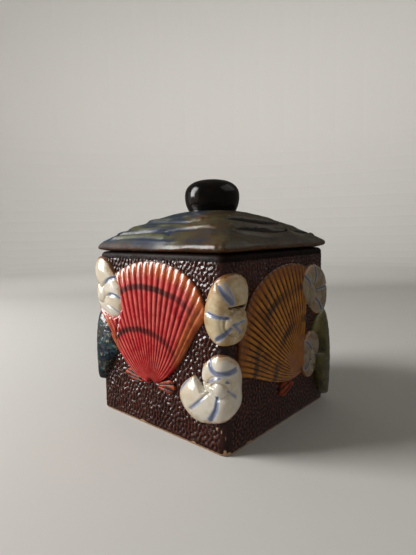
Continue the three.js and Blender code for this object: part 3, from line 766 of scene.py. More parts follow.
def snail_shell(name, shell):
    """A coil on the wall on a polar grid round its middle.

    Each column runs from the middle over the spire, down into the crease, over the whorl and down to the
    outline. The height is a lifted base that falls towards the outline, plus half an ellipse over the
    whorl and a quarter over the spire, plus balls, less creases and gaps."""
    coil, close = COIL_STEPS, shell.get("close", 22)
    way = np.concatenate([np.linspace(0, 1, coil), np.ones(close)])
    angle = np.radians(shell["start"] + shell["sense"] * shell["sweep"] * way)
    reach = through_list(shell["reach"], way)
    spire = shell["spire"]
    mouth = np.maximum(spire, MOUTH_CREASE * shell["reach"][0])
    to_mouth = np.clip((way - 1 + MOUTH_SWEEP) / MOUTH_SWEEP, 0, 1) ** 2
    crease = (1 - to_mouth) * spire * (FIRST_SPIRE + (1 - FIRST_SPIRE) * way) + to_mouth * mouth
    inner, outer = np.linspace(0, 1, SPIRE_STEPS)[1:, None], np.linspace(0, 1, WHORL_STEPS)[1:, None]
    spire_from, whorl_from = crease * inner, crease + (reach - crease) * outer
    distance = np.concatenate([spire_from, whorl_from])
    base = WHORL_LIFT + EDGE_STEP * (1 - (distance / reach) ** 2)
    bulge = np.concatenate(
        [
            spire * SPIRE_FLATNESS * np.sqrt(np.maximum(0, 1 - inner**2)) + 0 * crease,
            0.5 * (reach - crease) * WHORL_FLATNESS * np.sqrt(np.maximum(0, 1 - (2 * outer - 1) ** 2)),
        ]
    )
    along = shell["along"] + distance * np.cos(angle)
    up = shell["up"] + distance * np.sin(angle)
    out = base + bulge
    blend = np.concatenate([np.zeros(coil), np.arange(1, close + 1) / (close + 1)])
    along, up, out = (grid + blend * (grid[:, :1] - grid) for grid in (along, up, out))
    fall = np.concatenate([np.zeros_like(inner), outer])
    edge = np.broadcast_to(1 - fall, out.shape)
    for points, depth in shell.get("creases", ()):
        out = out - depth * near_line(along, up, points) ** CREASE_SHARPNESS
    for x, y, radius, height in shell.get("balls", ()):
        out = out + height * np.sqrt(np.clip(1 - ((along - x) ** 2 + (up - y) ** 2) / radius**2, 0, 1))
    for points, depth in shell.get("gaps", ()):
        out = out - depth * smooth_step(near_line(along, up, points), 0.0, 0.6)
    stroke = np.zeros_like(out)
    for points, ink in shell.get("strokes", ()):
        wide = [(x, y, STROKE_WIDTH * width) for x, y, width in points]
        stroke = np.maximum(stroke, ink * smooth_step(near_line(along, up, wide), 0.0, 0.8))
    out = np.maximum(out, -SUNK * 0.8)
    if shell["sense"] < 0:
        along, up, out, stroke, edge = (grid[:, ::-1] for grid in (along, up, out, stroke, edge))
    rows, columns = out.shape
    top_out = WHORL_LIFT + EDGE_STEP + spire * SPIRE_FLATNESS
    for x, y, radius, height in shell.get("balls", ()):
        near = ((shell["along"] - x) ** 2 + (shell["up"] - y) ** 2) / radius**2
        top_out += height * np.sqrt(max(0, 1 - near))
    sheet = wall_point(along, up, out).reshape(-1, 3)
    buried = wall_point(along[-1], up[-1], np.full(columns, -SUNK))
    middle = np.array([shell["along"]]), np.array([shell["up"]])
    top, bottom = wall_point(*middle, np.array([top_out])), wall_point(*middle, np.array([-SUNK]))
    points = np.concatenate([sheet, buried, top, bottom])
    faces = ring_quads(rows + 1, columns)[:, ::-1]
    caps = np.concatenate(
        [
            fan(np.arange(columns), len(points) - 2),
            fan(rows * columns + np.arange(columns), len(points) - 1)[:, ::-1],
        ]
    )
    masks = {
        "stroke": np.concatenate([stroke.ravel(), np.zeros(columns), stroke[0, :1], [0]]),
        "edge": np.concatenate([edge.ravel(), np.zeros(columns), [1], [0]]),
    }
    return piece_from(name, points, faces, caps, masks)


white_snails = [
    snail_shell("lower_near_snail", lower_near),
    snail_shell("left_corner_snail", left_corner_snail),
]
cream_snails = [
    snail_shell("upper_near_snail", upper_near),
    snail_shell("far_upper_snail", far_upper),
    snail_shell("far_lower_snail", far_lower),
]
grey_snails = [
    snail_shell("upper_right_snail", upper_right_snail),
    snail_shell("lower_right_snail", lower_right_snail),
]

# %% [markdown]
# ## The lid
#
# The lid is a low dome on a square plan that grows round towards the knob, with a lip that hangs a little
# over the wall. Combed waves run round it in four ridges that wander in and out. On top of them lie ridges
# and grooves cut by hand, and three lens-shaped hollows are scooped out of the right slope. It is one skin,
# as the jar is: across the hollow underneath, down and round the flange that keeps it in place, out under
# the seat, round the lip and over the top. Rows of the outside are interpolated smoothly between the
# ridges' feet and crests.

# %% Lid sizes
SEAT, LID_OVERHANG, LIP_UNDERCUT, LIP_RISE, LIP_INSET = 104.1, 2.2, 0.9, 6.0, 3.0
LID_CORNER, DOME_RISE, DOME_FULLNESS = 6.0, 18.0, 1.4
WAVE_COUNT, WAVE_DEPTH, WAVE_WANDER = 4, 1.7, 2.0
LID_WALL, FLANGE_DEPTH, FLANGE_THICKNESS, FLANGE_CLEARANCE = 6.5, 6.0, 4.0, 1.5
KNOB_RADIUS, KNOB_NECK, KNOB_HEIGHT, KNOB_NECK_HEIGHT, KNOB_FULLNESS = 17.5, 15.0, 20.4, 9.2, 2.5
LID_HALF = RIM_WIDTH / 2 + LID_OVERHANG
LIP_TOP = SEAT + LIP_RISE
NECK_UP = LIP_TOP + DOME_RISE
WAVE_OUTER = LID_HALF - LIP_INSET
FLAT_PARTS, CORNER_PARTS = 8, 3
SIDE_PARTS = FLAT_PARTS + CORNER_PARTS
print("lid", round(2 * LID_HALF, 1), "mm wide, top of the knob at", round(NECK_UP + KNOB_HEIGHT, 1), "mm")


def lid_ring(parts, half, radius, up):
    """A square ring. `parts` counts eight parts along each side and three round each corner."""
    side = np.floor(parts / SIDE_PARTS)
    local = parts - side * SIDE_PARTS
    flat = np.minimum(local / FLAT_PARTS * 2 - 1, 1)
    angle = np.maximum(0, local - FLAT_PARTS) / CORNER_PARTS * np.pi / 2
    radius = np.minimum(radius, half)
    x = flat * (half - radius) + radius * np.sin(angle)
    y = -(half - radius) - radius * np.cos(angle)
    return turned_to(side, x, y, up)


def dome_way(half):
    return np.clip((WAVE_OUTER - half) / (WAVE_OUTER - KNOB_NECK), 0, 1)


def dome_up(half):
    """Height of the dome without waves: it rises steeply from the lip and flattens towards the knob."""
    return LIP_TOP + DOME_RISE * (1 - (1 - dome_way(half)) ** DOME_FULLNESS)


def lid_corner(half):
    return LID_CORNER + (KNOB_NECK - LID_CORNER) * dome_way(half) ** 0.8


# %% [markdown]
# ### Cut lines and hollows
#
# Ridges and grooves are cut into both seen slopes, and three lens-shaped hollows are scooped out of the
# right one. Sculpting would make them, but each is only a line with a width and a height, so the helper
# that made the creases of the shells makes them as well.

# %% Cut lines and hollows
# Ridges and grooves cut by hand, as lines of (x, y, half width) with a height, and the scooped hollows.
RIGHT_RIDGE = [(43.8, -32, 1.4), (46.2, -28, 1.7), (47.0, -20, 1.8), (48.6, -10, 1.8), (48.2, 4, 1.7)]
LID_LINES = [
    ([(-41, -49.6, 1.6), (-34, -48.4, 1.9), (-15, -47.3, 2.2), (-3, -47.3, 2.6), (6, -48.6, 2.2)], 1.1),
    ([(-38, -46.0, 1.3), (-23, -45.3, 1.6), (-10, -44.4, 1.7), (2, -44.1, 1.8), (8, -45.8, 1.5)], -0.9),
    ([(-42, -43.8, 1.4), (-31, -43.2, 1.7), (-17, -42.0, 1.8), (-6, -40.8, 1.8)], 0.8),
    ([(1, -43.0, 1.2), (11, -42.5, 1.9), (20, -41.9, 1.9), (29, -41.0, 1.6), (36, -40.4, 1.0)], -0.9),
    ([(-4, -40.4, 1.4), (6, -39.4, 1.8), (17, -38.9, 2.0), (32, -38.2, 1.6)], 0.55),
    ([(-36, -39.4, 1.4), (-28, -37.2, 1.8), (-20, -35.9, 1.8), (-5, -37.4, 1.6), (8, -37.2, 1.2)], 0.5),
    ([(-29, -33.2, 1.4), (-15, -33.9, 1.7), (-1, -35.4, 1.8), (14, -35.2, 1.4)], -0.8),
    ([(-27, -30.6, 1.5), (-12, -30.9, 1.8), (3, -32.6, 1.9), (20, -32.6, 1.6)], 0.8),
    ([(-20, -27.6, 1.4), (-1, -28.3, 1.7), (19, -28.0, 1.4)], -0.7),
    ([(39.2, -29, 1.4), (38.6, -16, 1.7), (39.6, -6, 1.7), (41.0, 4, 1.6), (40.4, 20, 1.4)], 1.3),
    (RIGHT_RIDGE + [(44.4, 20, 1.6)], 1.3),
    ([(41.5, 23, 1.3), (45.8, 22, 1.5), (48.8, 27, 1.6), (49.4, 36, 1.6), (47.5, 46, 1.4)], 0.9),
    ([(28.0, -16, 1.4), (27.0, 0, 1.8), (29.0, 11, 1.8), (32.6, 20, 1.4)], 0.8),
]
LENSES = [
    ([(31.0, -23, 1.4), (32.0, -10, 4.0), (34.2, 0, 4.6), (35.6, 9, 4.0), (36.4, 20, 1.4)], 1.5),
    ([(42.4, -29, 1.4), (43.0, -18, 3.8), (44.0, -7, 4.4), (45.2, 4, 3.8), (44.8, 17, 1.4)], 1.6),
    ([(45.1, 25, 1.2), (45.6, 33, 3.4), (46.6, 42, 1.2)], 1.5),
]


def carved(x, y):
    """Height that the hand-carved lines add to the dome."""
    height = np.zeros_like(x)
    for points, rise in LID_LINES:
        closeness = near_line(x, y, points)
        height += rise * closeness**1.3 * (2.2 - 1.2 * closeness)
    return height


def scooped(x, y):
    """Depth of the three lens-shaped hollows scooped out of the right slope, and how far inside one is."""
    depth, inside = np.zeros_like(x), np.zeros_like(x)
    for points, deep in LENSES:
        inside_this = smooth_step(near_line(x, y, points), 0.0, 0.6)
        depth += deep * inside_this
        inside = np.maximum(inside, inside_this)
    return depth, inside


# %% [markdown]
# ### Wave ridges
#
# The four combed ridges run once round the dome. Each has a foot, a crest and a shoulder, and wanders in and
# out by two sine waves that fit a whole number of times round, so that no seam shows. Their swell is
# softened, because it is the cut lines that stand out on the real lid.

# %% Wave ridges
WAVE_SOFTENED = 0.35
WAVE_STAGES = (0, 1, 0.45)


def wave_rows(parts, steps):
    """Half width and swell of the wave ridges on fine rows, through the same crests as the solid's."""
    turn = 2 * np.pi * parts / (4 * SIDE_PARTS)
    count = WAVE_COUNT * len(WAVE_STAGES)
    halves, swells = [], []
    for j in range(count + 1):
        way, ridge = j / count, j // len(WAVE_STAGES)
        fade = min(1, 6 * way, 3 * (1 - way))
        wander = WAVE_WANDER * (0.65 * np.sin(5 * turn + 0.9 * ridge) + 0.35 * np.sin(9 * turn - 0.7 * ridge))
        height = WAVE_DEPTH * (0.7 + 0.3 * np.sin(4 * turn + 2.1 * ridge))
        halves.append(WAVE_OUTER + (KNOB_NECK - WAVE_OUTER) * way + fade * wander)
        swells.append(fade * WAVE_STAGES[j % len(WAVE_STAGES)] * height)
    halves, swells = np.array(halves), np.array(swells)
    ways = np.linspace(0, 1, count * steps + 1)
    place = ways * count
    low = np.minimum(count - 1, np.floor(place)).astype(int)
    part = (place - low)[:, None]
    eased = part * part * (3 - 2 * part)
    half = halves[low] + (halves[low + 1] - halves[low]) * part
    swell = swells[low] + (swells[low + 1] - swells[low]) * eased
    return half, swell


# %% [markdown]
# ### The lid's skin
#
# The rows are stacked from the middle of the hollow outwards, round the lip and up to the knob. The lip
# wavers a little in and out and up and down, because it was trimmed by hand.

# %% Lid
LID_COLUMNS, WAVE_STEPS, HOLLOW_ROWS, HOLLOW_START = 380, 9, 9, 4.0
LIP_PROFILE = [(0.9, 0.9), (0.35, 1.2), (0.04, 1.7), (0, 2.3), (0.2, 3.0), (0.6, 3.8), (1.2, 4.6), (2.0, 5.3)]
LIP_TRIM, LIP_POOL = 0.4, 0.8
DULL_FROM, DULL_ROWS, OLIVE_AND_SHADE_FROM = (-14.0, 4.0), (LID_HALF - 4.5, LID_HALF - 2.5), (-10.0, 26.0)
parts = np.linspace(0, 4 * SIDE_PARTS, LID_COLUMNS, endpoint=False)
level = np.zeros_like(parts)
flange_outer = RIM_WIDTH / 2 - WALL - FLANGE_CLEARANCE
flange_inner = flange_outer - FLANGE_THICKNESS
flange_corner = MOUTH_CORNER - FLANGE_CLEARANCE
flange_foot = SEAT - FLANGE_DEPTH
lid_rows = []
lid_masks = {"pool": [], "lip": [], "lens": [], "dull": [], "olive": []}


def add_lid_row(half, radius, up, pool=0.0, lip=0.0, lens=0.0):
    """One more row of the lid's skin, with its masks.

    `pool` is where the glaze runs thick, `lip` the lower edge of the lip and `lens` a scooped hollow.
    The lip is `dull` on its far half, and the glaze turns `olive` towards the right, partly its own tone
    and partly painted shade."""
    row = lid_ring(parts, half + level, radius + level, up + level)
    lid_rows.append(row)
    dull = smooth_step(-row[:, 0], *DULL_FROM) * smooth_step(half + level, *DULL_ROWS)
    # Olive towards the right: partly the glaze's own tone, partly painted shade on the shaded slope.
    olive = smooth_step(row[:, 0], *OLIVE_AND_SHADE_FROM)
    for mask, value in (("pool", pool), ("lip", lip), ("lens", lens), ("dull", dull), ("olive", olive)):
        lid_masks[mask].append(value + level)


for half in np.linspace(HOLLOW_START, flange_inner, HOLLOW_ROWS):
    top = np.maximum(dome_up(np.maximum(half, KNOB_NECK)) - LID_WALL, SEAT)
    add_lid_row(half, np.minimum(half, lid_corner(half)), top)
flange_profile = [(flange_inner, SEAT), (flange_inner, flange_foot + 0.8), (flange_inner + 0.8, flange_foot)]
flange_profile += [(flange_outer - 1, flange_foot), (flange_outer, flange_foot + 1)]
flange_profile += [(flange_outer, SEAT - 0.5), (flange_outer + 0.5, SEAT)]
for half, up in flange_profile:
    add_lid_row(half, flange_corner, up)
add_lid_row(RIM_WIDTH / 2 - RIM_OUTER_ROUND, LID_CORNER - LIP_UNDERCUT, SEAT, lip=1.0)
turn = 2 * np.pi * parts / (4 * SIDE_PARTS)
waver = 0.22 * np.sin(7 * turn + 0.4) + 0.16 * np.sin(13 * turn + 2.0) + 0.1 * np.sin(29 * turn)
for inset, rise in LIP_PROFILE:
    waver_here = waver * np.sin(np.pi * rise / LIP_RISE)
    half = LID_HALF - inset - LIP_TRIM + waver_here
    add_lid_row(half, LID_CORNER, SEAT + rise + waver_here, LIP_POOL, 1 - rise / LIP_RISE)
for half, swell in zip(*wave_rows(parts, WAVE_STEPS)):
    row = lid_ring(parts, half, lid_corner(half), level)
    cut = carved(row[:, 0], row[:, 1])
    scoop, lens = scooped(row[:, 0], row[:, 1])
    up = dome_up(half) + WAVE_SOFTENED * swell * (1 - lens) + cut - scoop
    pool = np.clip(1 - swell / WAVE_DEPTH - 0.5 * cut, 0, 1.4)
    add_lid_row(half, lid_corner(half), up, pool, 0.0, lens)
lid = skin_of_rings(
    "lid_dome",
    lid_rows,
    [[0, 0, NECK_UP - LID_WALL], [0, 0, NECK_UP]],
    {mask: (values, [0, 0]) for mask, values in lid_masks.items()},
)
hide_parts("lid")

# %% [markdown]
# ## The knob
#
# The knob is a flattened ball, pressed on by hand, so it is a profile turned about the middle line with a
# slight unevenness. A UV sphere would be too regular and too round at the shoulder.

# %% Knob
KNOB_COLUMNS, NECK_STEPS, CROWN_STEPS, KNOB_SUNK = 96, 14, 30, 2.5


def knob_profile():
    """Radius and height from under the lid's skin up the neck and over the crown, a superellipse."""
    neck = np.linspace(0, 1, NECK_STEPS)
    neck_radius = KNOB_RADIUS - (KNOB_RADIUS - KNOB_NECK) * (1 - neck) ** 2
    neck_up = NECK_UP + KNOB_NECK_HEIGHT * neck
    turn = np.linspace(0, np.pi / 2, CROWN_STEPS)[1:-1]
    crown_radius = KNOB_RADIUS * np.cos(turn) ** (2 / KNOB_FULLNESS)
    crown_up = neck_up[-1] + (KNOB_HEIGHT - KNOB_NECK_HEIGHT) * np.sin(turn) ** (2 / KNOB_FULLNESS)
    radius = np.concatenate([[KNOB_NECK + 0.6, KNOB_NECK + 0.5], neck_radius, crown_radius])
    return radius, np.concatenate([[NECK_UP - KNOB_SUNK, NECK_UP - 0.4], neck_up, crown_up])


def turned_profile(radius, up, columns, uneven=lambda turn: 1.0):
    """Rings of points from a profile turned about the middle line, each widened by the unevenness."""
    turn = np.linspace(0, 2 * np.pi, columns, endpoint=False)
    reach = radius[:, None] * uneven(turn)
    return np.stack([reach * np.cos(turn), reach * np.sin(turn), up[:, None] + 0 * turn], axis=-1)


def pressed_by_hand(turn):
    return 1 + 0.008 * np.sin(2 * turn + 0.6) + 0.006 * np.sin(3 * turn)


knob = skin_of_rings(
    "knob",
    turned_profile(*knob_profile(), KNOB_COLUMNS, pressed_by_hand),
    [[0, 0, NECK_UP - KNOB_SUNK], [0, 0, NECK_UP + KNOB_HEIGHT]],
    {},
)

# %% [markdown]
# ## Glazes
#
# Every finish is a glossy glaze, so they share effects: a skin that is slightly uneven and pitted, colour
# that drifts from one shade to another, and a ragged edge where the glaze runs thin. Each is a node group
# that is made once and placed in each material with its own values. The shader itself stays in the
# material. Shades are written as red, green and blue from 0 to 255, as a screen shows them.

# %% Node helpers


def colour(red, green, blue):
    """A colour of the screen, 0 to 255, as the linear colour that shaders use."""
    value = np.array([red, green, blue]) / 255
    linear = np.where(value <= 0.04045, value / 12.92, ((value + 0.055) / 1.055) ** 2.4)
    return (*linear, 1.0)


def put(tree, kind, values=None, **settings):
    """A node with its settings, and with each input set to a number or linked to another node's output."""
    node = tree.nodes.new(kind)
    for key, value in settings.items():
        setattr(node, key, value)
    for key, value in (values or {}).items():
        if isinstance(value, bpy.types.NodeSocket):
            tree.links.new(value, node.inputs[key])
        else:
            node.inputs[key].default_value = value
    return node


def noise(tree, scale, detail=3.0, rough=0.55, distortion=0.0):
    place = put(tree, "ShaderNodeTexCoord").outputs["Object"]
    values = {"Vector": place, "Scale": scale, "Detail": detail, "Roughness": rough, "Distortion": distortion}
    return put(tree, "ShaderNodeTexNoise", values).outputs["Fac"]


def mask(tree, name):
    return put(tree, "ShaderNodeAttribute", attribute_type="GEOMETRY", attribute_name=name).outputs["Fac"]


def between(tree, value, low, high):
    """0 where the value is low and 1 where it is high, with a soft change between."""
    values = {"Value": value, "From Min": low, "From Max": high}
    return put(tree, "ShaderNodeMapRange", values, interpolation_type="SMOOTHSTEP").outputs["Result"]


def maths(tree, work, a, b):
    return put(tree, "ShaderNodeMath", {0: a, 1: b}, operation=work).outputs[0]


def times(tree, a, b):
    return maths(tree, "MULTIPLY", a, b)


def plus(tree, a, b):
    return maths(tree, "ADD", a, b)


def minus(tree, a, b):
    return maths(tree, "SUBTRACT", a, b)


def wander(tree, amount, *noise_values):
    """Noise about 0, which moves the edge of a mask to and fro."""
    return times(tree, minus(tree, noise(tree, *noise_values), 0.5), amount)


def flecks(tree, low, high, *noise_values):
    """Small spots where the noise is high."""
    return between(tree, noise(tree, *noise_values), low, high)


def over(tree, under, shade, where, strength=1.0):
    """One colour laid over another where a mask says. The shade is a colour of the screen or an output."""
    shade = shade if isinstance(shade, bpy.types.NodeSocket) else colour(*shade)
    cover = where if strength == 1.0 else times(tree, where, strength)
    return put(tree, "ShaderNodeMix", {0: cover, 6: under, 7: shade}, data_type="RGBA").outputs[2]


def group_of(name, inputs, outputs):
    """A new shader node group with its sockets, and its input and output nodes."""
    tree = bpy.data.node_groups.new(name, "ShaderNodeTree")
    for socket, kind, value in inputs:
        made = tree.interface.new_socket(socket, in_out="INPUT", socket_type=kind)
        made.default_value = value
    for socket, kind in outputs:
        tree.interface.new_socket(socket, in_out="OUTPUT", socket_type=kind)
    return tree, tree.nodes.new("NodeGroupInput").outputs, tree.nodes.new("NodeGroupOutput").inputs


# %% [markdown]
# ### Three shared effects
#
# The skin is a fine unevenness with pits and with cloudy patches that are less smooth. The drift mixes two
# shades in soft patches, as a glaze does that is thicker in one place. The thin edge is a ragged strip where
# a glaze has run off a margin.

# %% Glaze groups
FLOAT, COLOUR, VECTOR = "NodeSocketFloat", "NodeSocketColor", "NodeSocketVector"
PIT_SCALE, PIT_RANGE, PIT_DEPTH = 1500.0, (0.68, 0.8), 0.0001
CLOUD_SCALE, CLOUD_RANGE, CLOUD_ROUGHNESS = 90.0, (0.45, 0.75), 0.14
DRIFT_RANGE, EDGE_RAGGEDNESS = (0.38, 0.66), 3.0

skin_values = [("Wave Scale", FLOAT, 300.0), ("Wave Depth", FLOAT, 0.0001), ("Pits", FLOAT, 0.3)]
skin_values += [("Gloss", FLOAT, 0.2)]
skin, values, made = group_of("glaze_skin", skin_values, [("Roughness", FLOAT), ("Normal", VECTOR)])
wave_height = noise(skin, values["Wave Scale"], 2.0, 0.5)
waves = {"Strength": 1.0, "Distance": values["Wave Depth"], "Height": wave_height}
waved = put(skin, "ShaderNodeBump", waves).outputs["Normal"]
pit_height = times(skin, flecks(skin, *PIT_RANGE, PIT_SCALE, 1.0), -1.0)
pits = {"Strength": values["Pits"], "Distance": PIT_DEPTH, "Height": pit_height, "Normal": waved}
skin.links.new(put(skin, "ShaderNodeBump", pits).outputs["Normal"], made["Normal"])
cloudy = times(skin, flecks(skin, *CLOUD_RANGE, CLOUD_SCALE, 4.0), CLOUD_ROUGHNESS)
skin.links.new(plus(skin, values["Gloss"], cloudy), made["Roughness"])

drift_values = [("First", COLOUR, (1, 1, 1, 1)), ("Second", COLOUR, (0, 0, 0, 1))]
drift_values += [("Scale", FLOAT, 60.0), ("Amount", FLOAT, 1.0)]
drift, values, made = group_of("glaze_drift", drift_values, [("Colour", COLOUR)])
drifts = flecks(drift, *DRIFT_RANGE, values["Scale"], 5.0, 0.6, 0.4)
drift.links.new(over(drift, values["First"], values["Second"], drifts, values["Amount"]), made["Colour"])

edge_values = [("Edge", FLOAT, 1.0), ("Width", FLOAT, 0.1), ("Scale", FLOAT, 400.0)]
broken, values, made = group_of("thin_edge", edge_values, [("Mask", FLOAT)])
ragged = times(broken, wander(broken, EDGE_RAGGEDNESS, values["Scale"], 4.0, 0.6), values["Width"])
ways_in = maths(broken, "DIVIDE", plus(broken, values["Edge"], ragged), values["Width"])
broken.links.new(between(broken, minus(broken, 1.0, ways_in), 0.0, 0.5), made["Mask"])

# %% [markdown]
# ### One glaze
#
# A glaze is a material with its own paint, which gives the colour, and with the shared skin. Some pieces
# wear two: where a mask is strong, their faces get the second one, because how much a surface mirrors is a
# plain value of a material and not something that a mask changes.

# %% One glaze


def drifting(tree, first, second, scale, amount=1.0):
    """A shade that drifts into a second one in soft patches."""
    values = {"First": colour(*first), "Second": colour(*second), "Scale": scale, "Amount": amount}
    return put(tree, "ShaderNodeGroup", values, node_tree=drift).outputs[0]


def thin_edge(tree, edge, width, scale):
    """A ragged strip where `edge`, which is 0 at the margin, is less than the width."""
    values = {"Edge": edge, "Width": width, "Scale": scale}
    return put(tree, "ShaderNodeGroup", values, node_tree=broken).outputs[0]


def glaze(name, paint, gloss, waves, pits, coat=0.0, specular=0.5, dull=0.0):
    """A glossy glaze: the paint function gives the colour, and the skin group the roughness and normal.

    `waves` is the scale and the depth of the unevenness, and `dull` is how much rougher it is where the
    mask "dull" is full."""
    material = bpy.data.materials.new(name)
    material.use_nodes = True
    tree = material.node_tree
    shader = tree.nodes["Principled BSDF"]
    values = {"Wave Scale": waves[0], "Wave Depth": waves[1], "Pits": pits, "Gloss": gloss}
    surface = put(tree, "ShaderNodeGroup", values, node_tree=skin).outputs
    roughness = surface["Roughness"]
    if dull:
        roughness = plus(tree, roughness, times(tree, mask(tree, "dull"), dull))
    links = {"Base Color": paint(tree), "Roughness": roughness, "Normal": surface["Normal"]}
    for socket, output in links.items():
        tree.links.new(output, shader.inputs[socket])
    numbers = {"Coat Weight": coat, "Coat Roughness": 0.06, "IOR": 1.52, "Specular IOR Level": specular}
    for socket, value in numbers.items():
        shader.inputs[socket].default_value = value
    return material


def finish(pieces, *materials):
    """Give every piece the same finishes, the usual one first."""
    for piece in pieces:
        for material in materials:
            piece.data.materials.append(material)
        print(piece.name, "wears", " and ".join(material.name for material in materials))


def second_finish_where(piece, name, limit):
    """Give the faces whose first corner has the named mask above the limit the piece's second finish."""
    mesh = piece.data
    masked = np.empty(len(mesh.vertices), np.float32)
    corner, start = np.empty(len(mesh.loops), np.int32), np.empty(len(mesh.polygons), np.int32)
    mesh.attributes[name].data.foreach_get("value", masked)
    mesh.loops.foreach_get("vertex_index", corner)
    mesh.polygons.foreach_get("loop_start", start)
    second = masked[corner[start]] > limit
    mesh.polygons.foreach_set("material_index", second.astype(np.int32))
    print(piece.name, "faces with the second finish:", int(second.sum()))


# %% [markdown]
# ### Dark brown ground
#
# The brown glaze runs off the tops of the bumps and pools between them, so the tops are a warmer brown,
# which is partly painted light where the bumps catch it.
# Along the foot and on the underside the potter wiped it off, and the pale clay shows. The smooth band
# under the lid is painted darker as painted shade and hardly mirrors anything, because the lid shades it
# and it has no bumps to catch the light.

# %% Brown glaze
BROWN, DEEP_BROWN, WARM_BROWN, FLECK_BROWN = (58, 30, 24), (38, 19, 15), (112, 60, 46), (140, 84, 50)
BAND_SHADE_BROWN, BARE_CLAY, RIM_SHADE_BROWN, DEEP_RIM_SHADE_BROWN = (28, 14, 11), (176, 140, 108), (34, 18, 14), (22, 11, 9)


def brown_paint(tree):
    ground = drifting(tree, BROWN, DEEP_BROWN, 70.0)
    # Warmer tops: the glaze breaking over the bumps, and partly painted light on them.
    lit = over(tree, ground, WARM_BROWN, between(tree, mask(tree, "height"), 0.62, 1.0), 0.5)
    lit = over(tree, lit, FLECK_BROWN, flecks(tree, 0.7, 0.76, 420.0, 2.0), 0.5)
    # Painted shade: the band under the lid is darkened for the lid's shadow.
    lit = over(tree, lit, BAND_SHADE_BROWN, mask(tree, "band"), 0.6)
    ragged_clay = plus(tree, mask(tree, "clay"), times(tree, noise(tree, 500.0), 0.6))
    return over(tree, lit, BARE_CLAY, between(tree, ragged_clay, 0.85, 1.15))


# Painted shade: the band under the lid gets a darker brown for the lid's shadow.
def rim_shade_paint(tree):
    return drifting(tree, RIM_SHADE_BROWN, DEEP_RIM_SHADE_BROWN, 70.0)


brown_glaze = glaze("brown_glaze", brown_paint, gloss=0.16, waves=(350.0, 0.00006), pits=0.15, coat=0.3)
shaded_rim_glaze = glaze("shaded_rim_glaze", rim_shade_paint, gloss=0.5, waves=(350.0, 0.00006), pits=0.15, specular=0.12)
finish([jar_body], brown_glaze, shaded_rim_glaze)
second_finish_where(jar_body, "band", 0.5)

# %% [markdown]
# ### Red shell
#
# On the scallops the glaze is thick in the grooves and thin on the ribs. The red shell is crimson between
# salmon crests and turns orange-brown at the margin and at both sides. The crease beside the left lobe is
# painted darker as painted shade, and the dark line at the outer rim is partly thin glaze and partly
# painted shade where the shell meets the wall. The masks of the mesh say where, and noise moves their
# edges so that none of them looks cut out.

# %% Red glaze
CRIMSON, DEEP_CRIMSON, SALMON, DEEP_SALMON = (170, 6, 22), (134, 4, 14), (212, 92, 82), (186, 42, 46)
ORANGE, DEEP_ORANGE = (182, 96, 46), (146, 62, 30)
RED_BRUSH, RED_CREASE_SHADE, RED_EDGE_AND_SHADE = (48, 16, 14), (96, 34, 24), (96, 50, 26)


def red_paint(tree):
    grow, spread, rib = mask(tree, "grow"), mask(tree, "spread"), mask(tree, "rib")
    uneven = wander(tree, 0.5, 220.0)
    sideways = plus(tree, spread, times(tree, uneven, 0.2))
    orange = drifting(tree, ORANGE, DEEP_ORANGE, 160.0)
    crest = between(tree, plus(tree, rib, times(tree, uneven, 0.5)), 0.4, 1.0)
    salmon = drifting(tree, SALMON, DEEP_SALMON, 120.0)
    shell = over(tree, drifting(tree, CRIMSON, DEEP_CRIMSON, 80.0), salmon, crest, 0.95)
    margin = between(tree, plus(tree, grow, times(tree, uneven, 0.16)), 0.84, 0.96)
    shell = over(tree, shell, orange, margin, 0.9)
    right_side = times(tree, between(tree, sideways, 0.74, 0.92), between(tree, grow, 0.25, 0.6))
    shell = over(tree, shell, orange, right_side)
    shell = over(tree, shell, RED_BRUSH, mask(tree, "band"), 0.88)
    left_side = times(tree, between(tree, sideways, -0.7, -0.84), between(tree, grow, 0.4, 0.6))
    shell = over(tree, shell, orange, left_side, 0.7)
    # Painted shade: the crease beside the left lobe is painted darker.
    shell = over(tree, shell, RED_CREASE_SHADE, mask(tree, "crease"), 0.8)
    # Partly painted shade: the dark line at the outer rim, where the shell meets the wall.
    return over(tree, shell, RED_EDGE_AND_SHADE, thin_edge(tree, minus(tree, 1.0, grow), 0.022, 300.0), 0.8)


# %% [markdown]
# ### Ochre glaze
#
# The ochre shell has dark brown grooves and golden ribs. It is pinkish near the hinge and browner at the
# margin. The dark line at the outer rim is partly thin glaze and partly painted shade where the shell
# meets the wall.

# %% Ochre glaze
OCHRE_GROOVE, DEEP_OCHRE_GROOVE, OCHRE, DEEP_OCHRE = (74, 36, 5), (46, 22, 4), (186, 120, 30), (150, 90, 22)
OCHRE_PINK, OCHRE_MARGIN, OCHRE_BRUSH, OCHRE_EDGE_AND_SHADE = (172, 112, 72), (130, 74, 26), (36, 28, 24), (92, 50, 24)


def ochre_paint(tree):
    grow, rib = mask(tree, "grow"), mask(tree, "rib")
    uneven = wander(tree, 0.5, 200.0)
    crest = between(tree, plus(tree, rib, uneven), 0.2, 1.0)
    grooves = drifting(tree, OCHRE_GROOVE, DEEP_OCHRE_GROOVE, 90.0)
    shell = over(tree, grooves, drifting(tree, OCHRE, DEEP_OCHRE, 110.0), crest)
    shell = over(tree, shell, OCHRE_PINK, between(tree, plus(tree, grow, uneven), 0.42, 0.16), 0.75)
    margin = between(tree, plus(tree, grow, times(tree, uneven, 0.16)), 0.86, 0.97)
    shell = over(tree, shell, OCHRE_MARGIN, margin, 0.7)
    shell = over(tree, shell, OCHRE_BRUSH, mask(tree, "band"), 0.85)
    # Partly painted shade: the dark line at the outer rim, where the shell meets the wall.
    return over(tree, shell, OCHRE_EDGE_AND_SHADE, thin_edge(tree, minus(tree, 1.0, grow), 0.02, 300.0), 0.7)


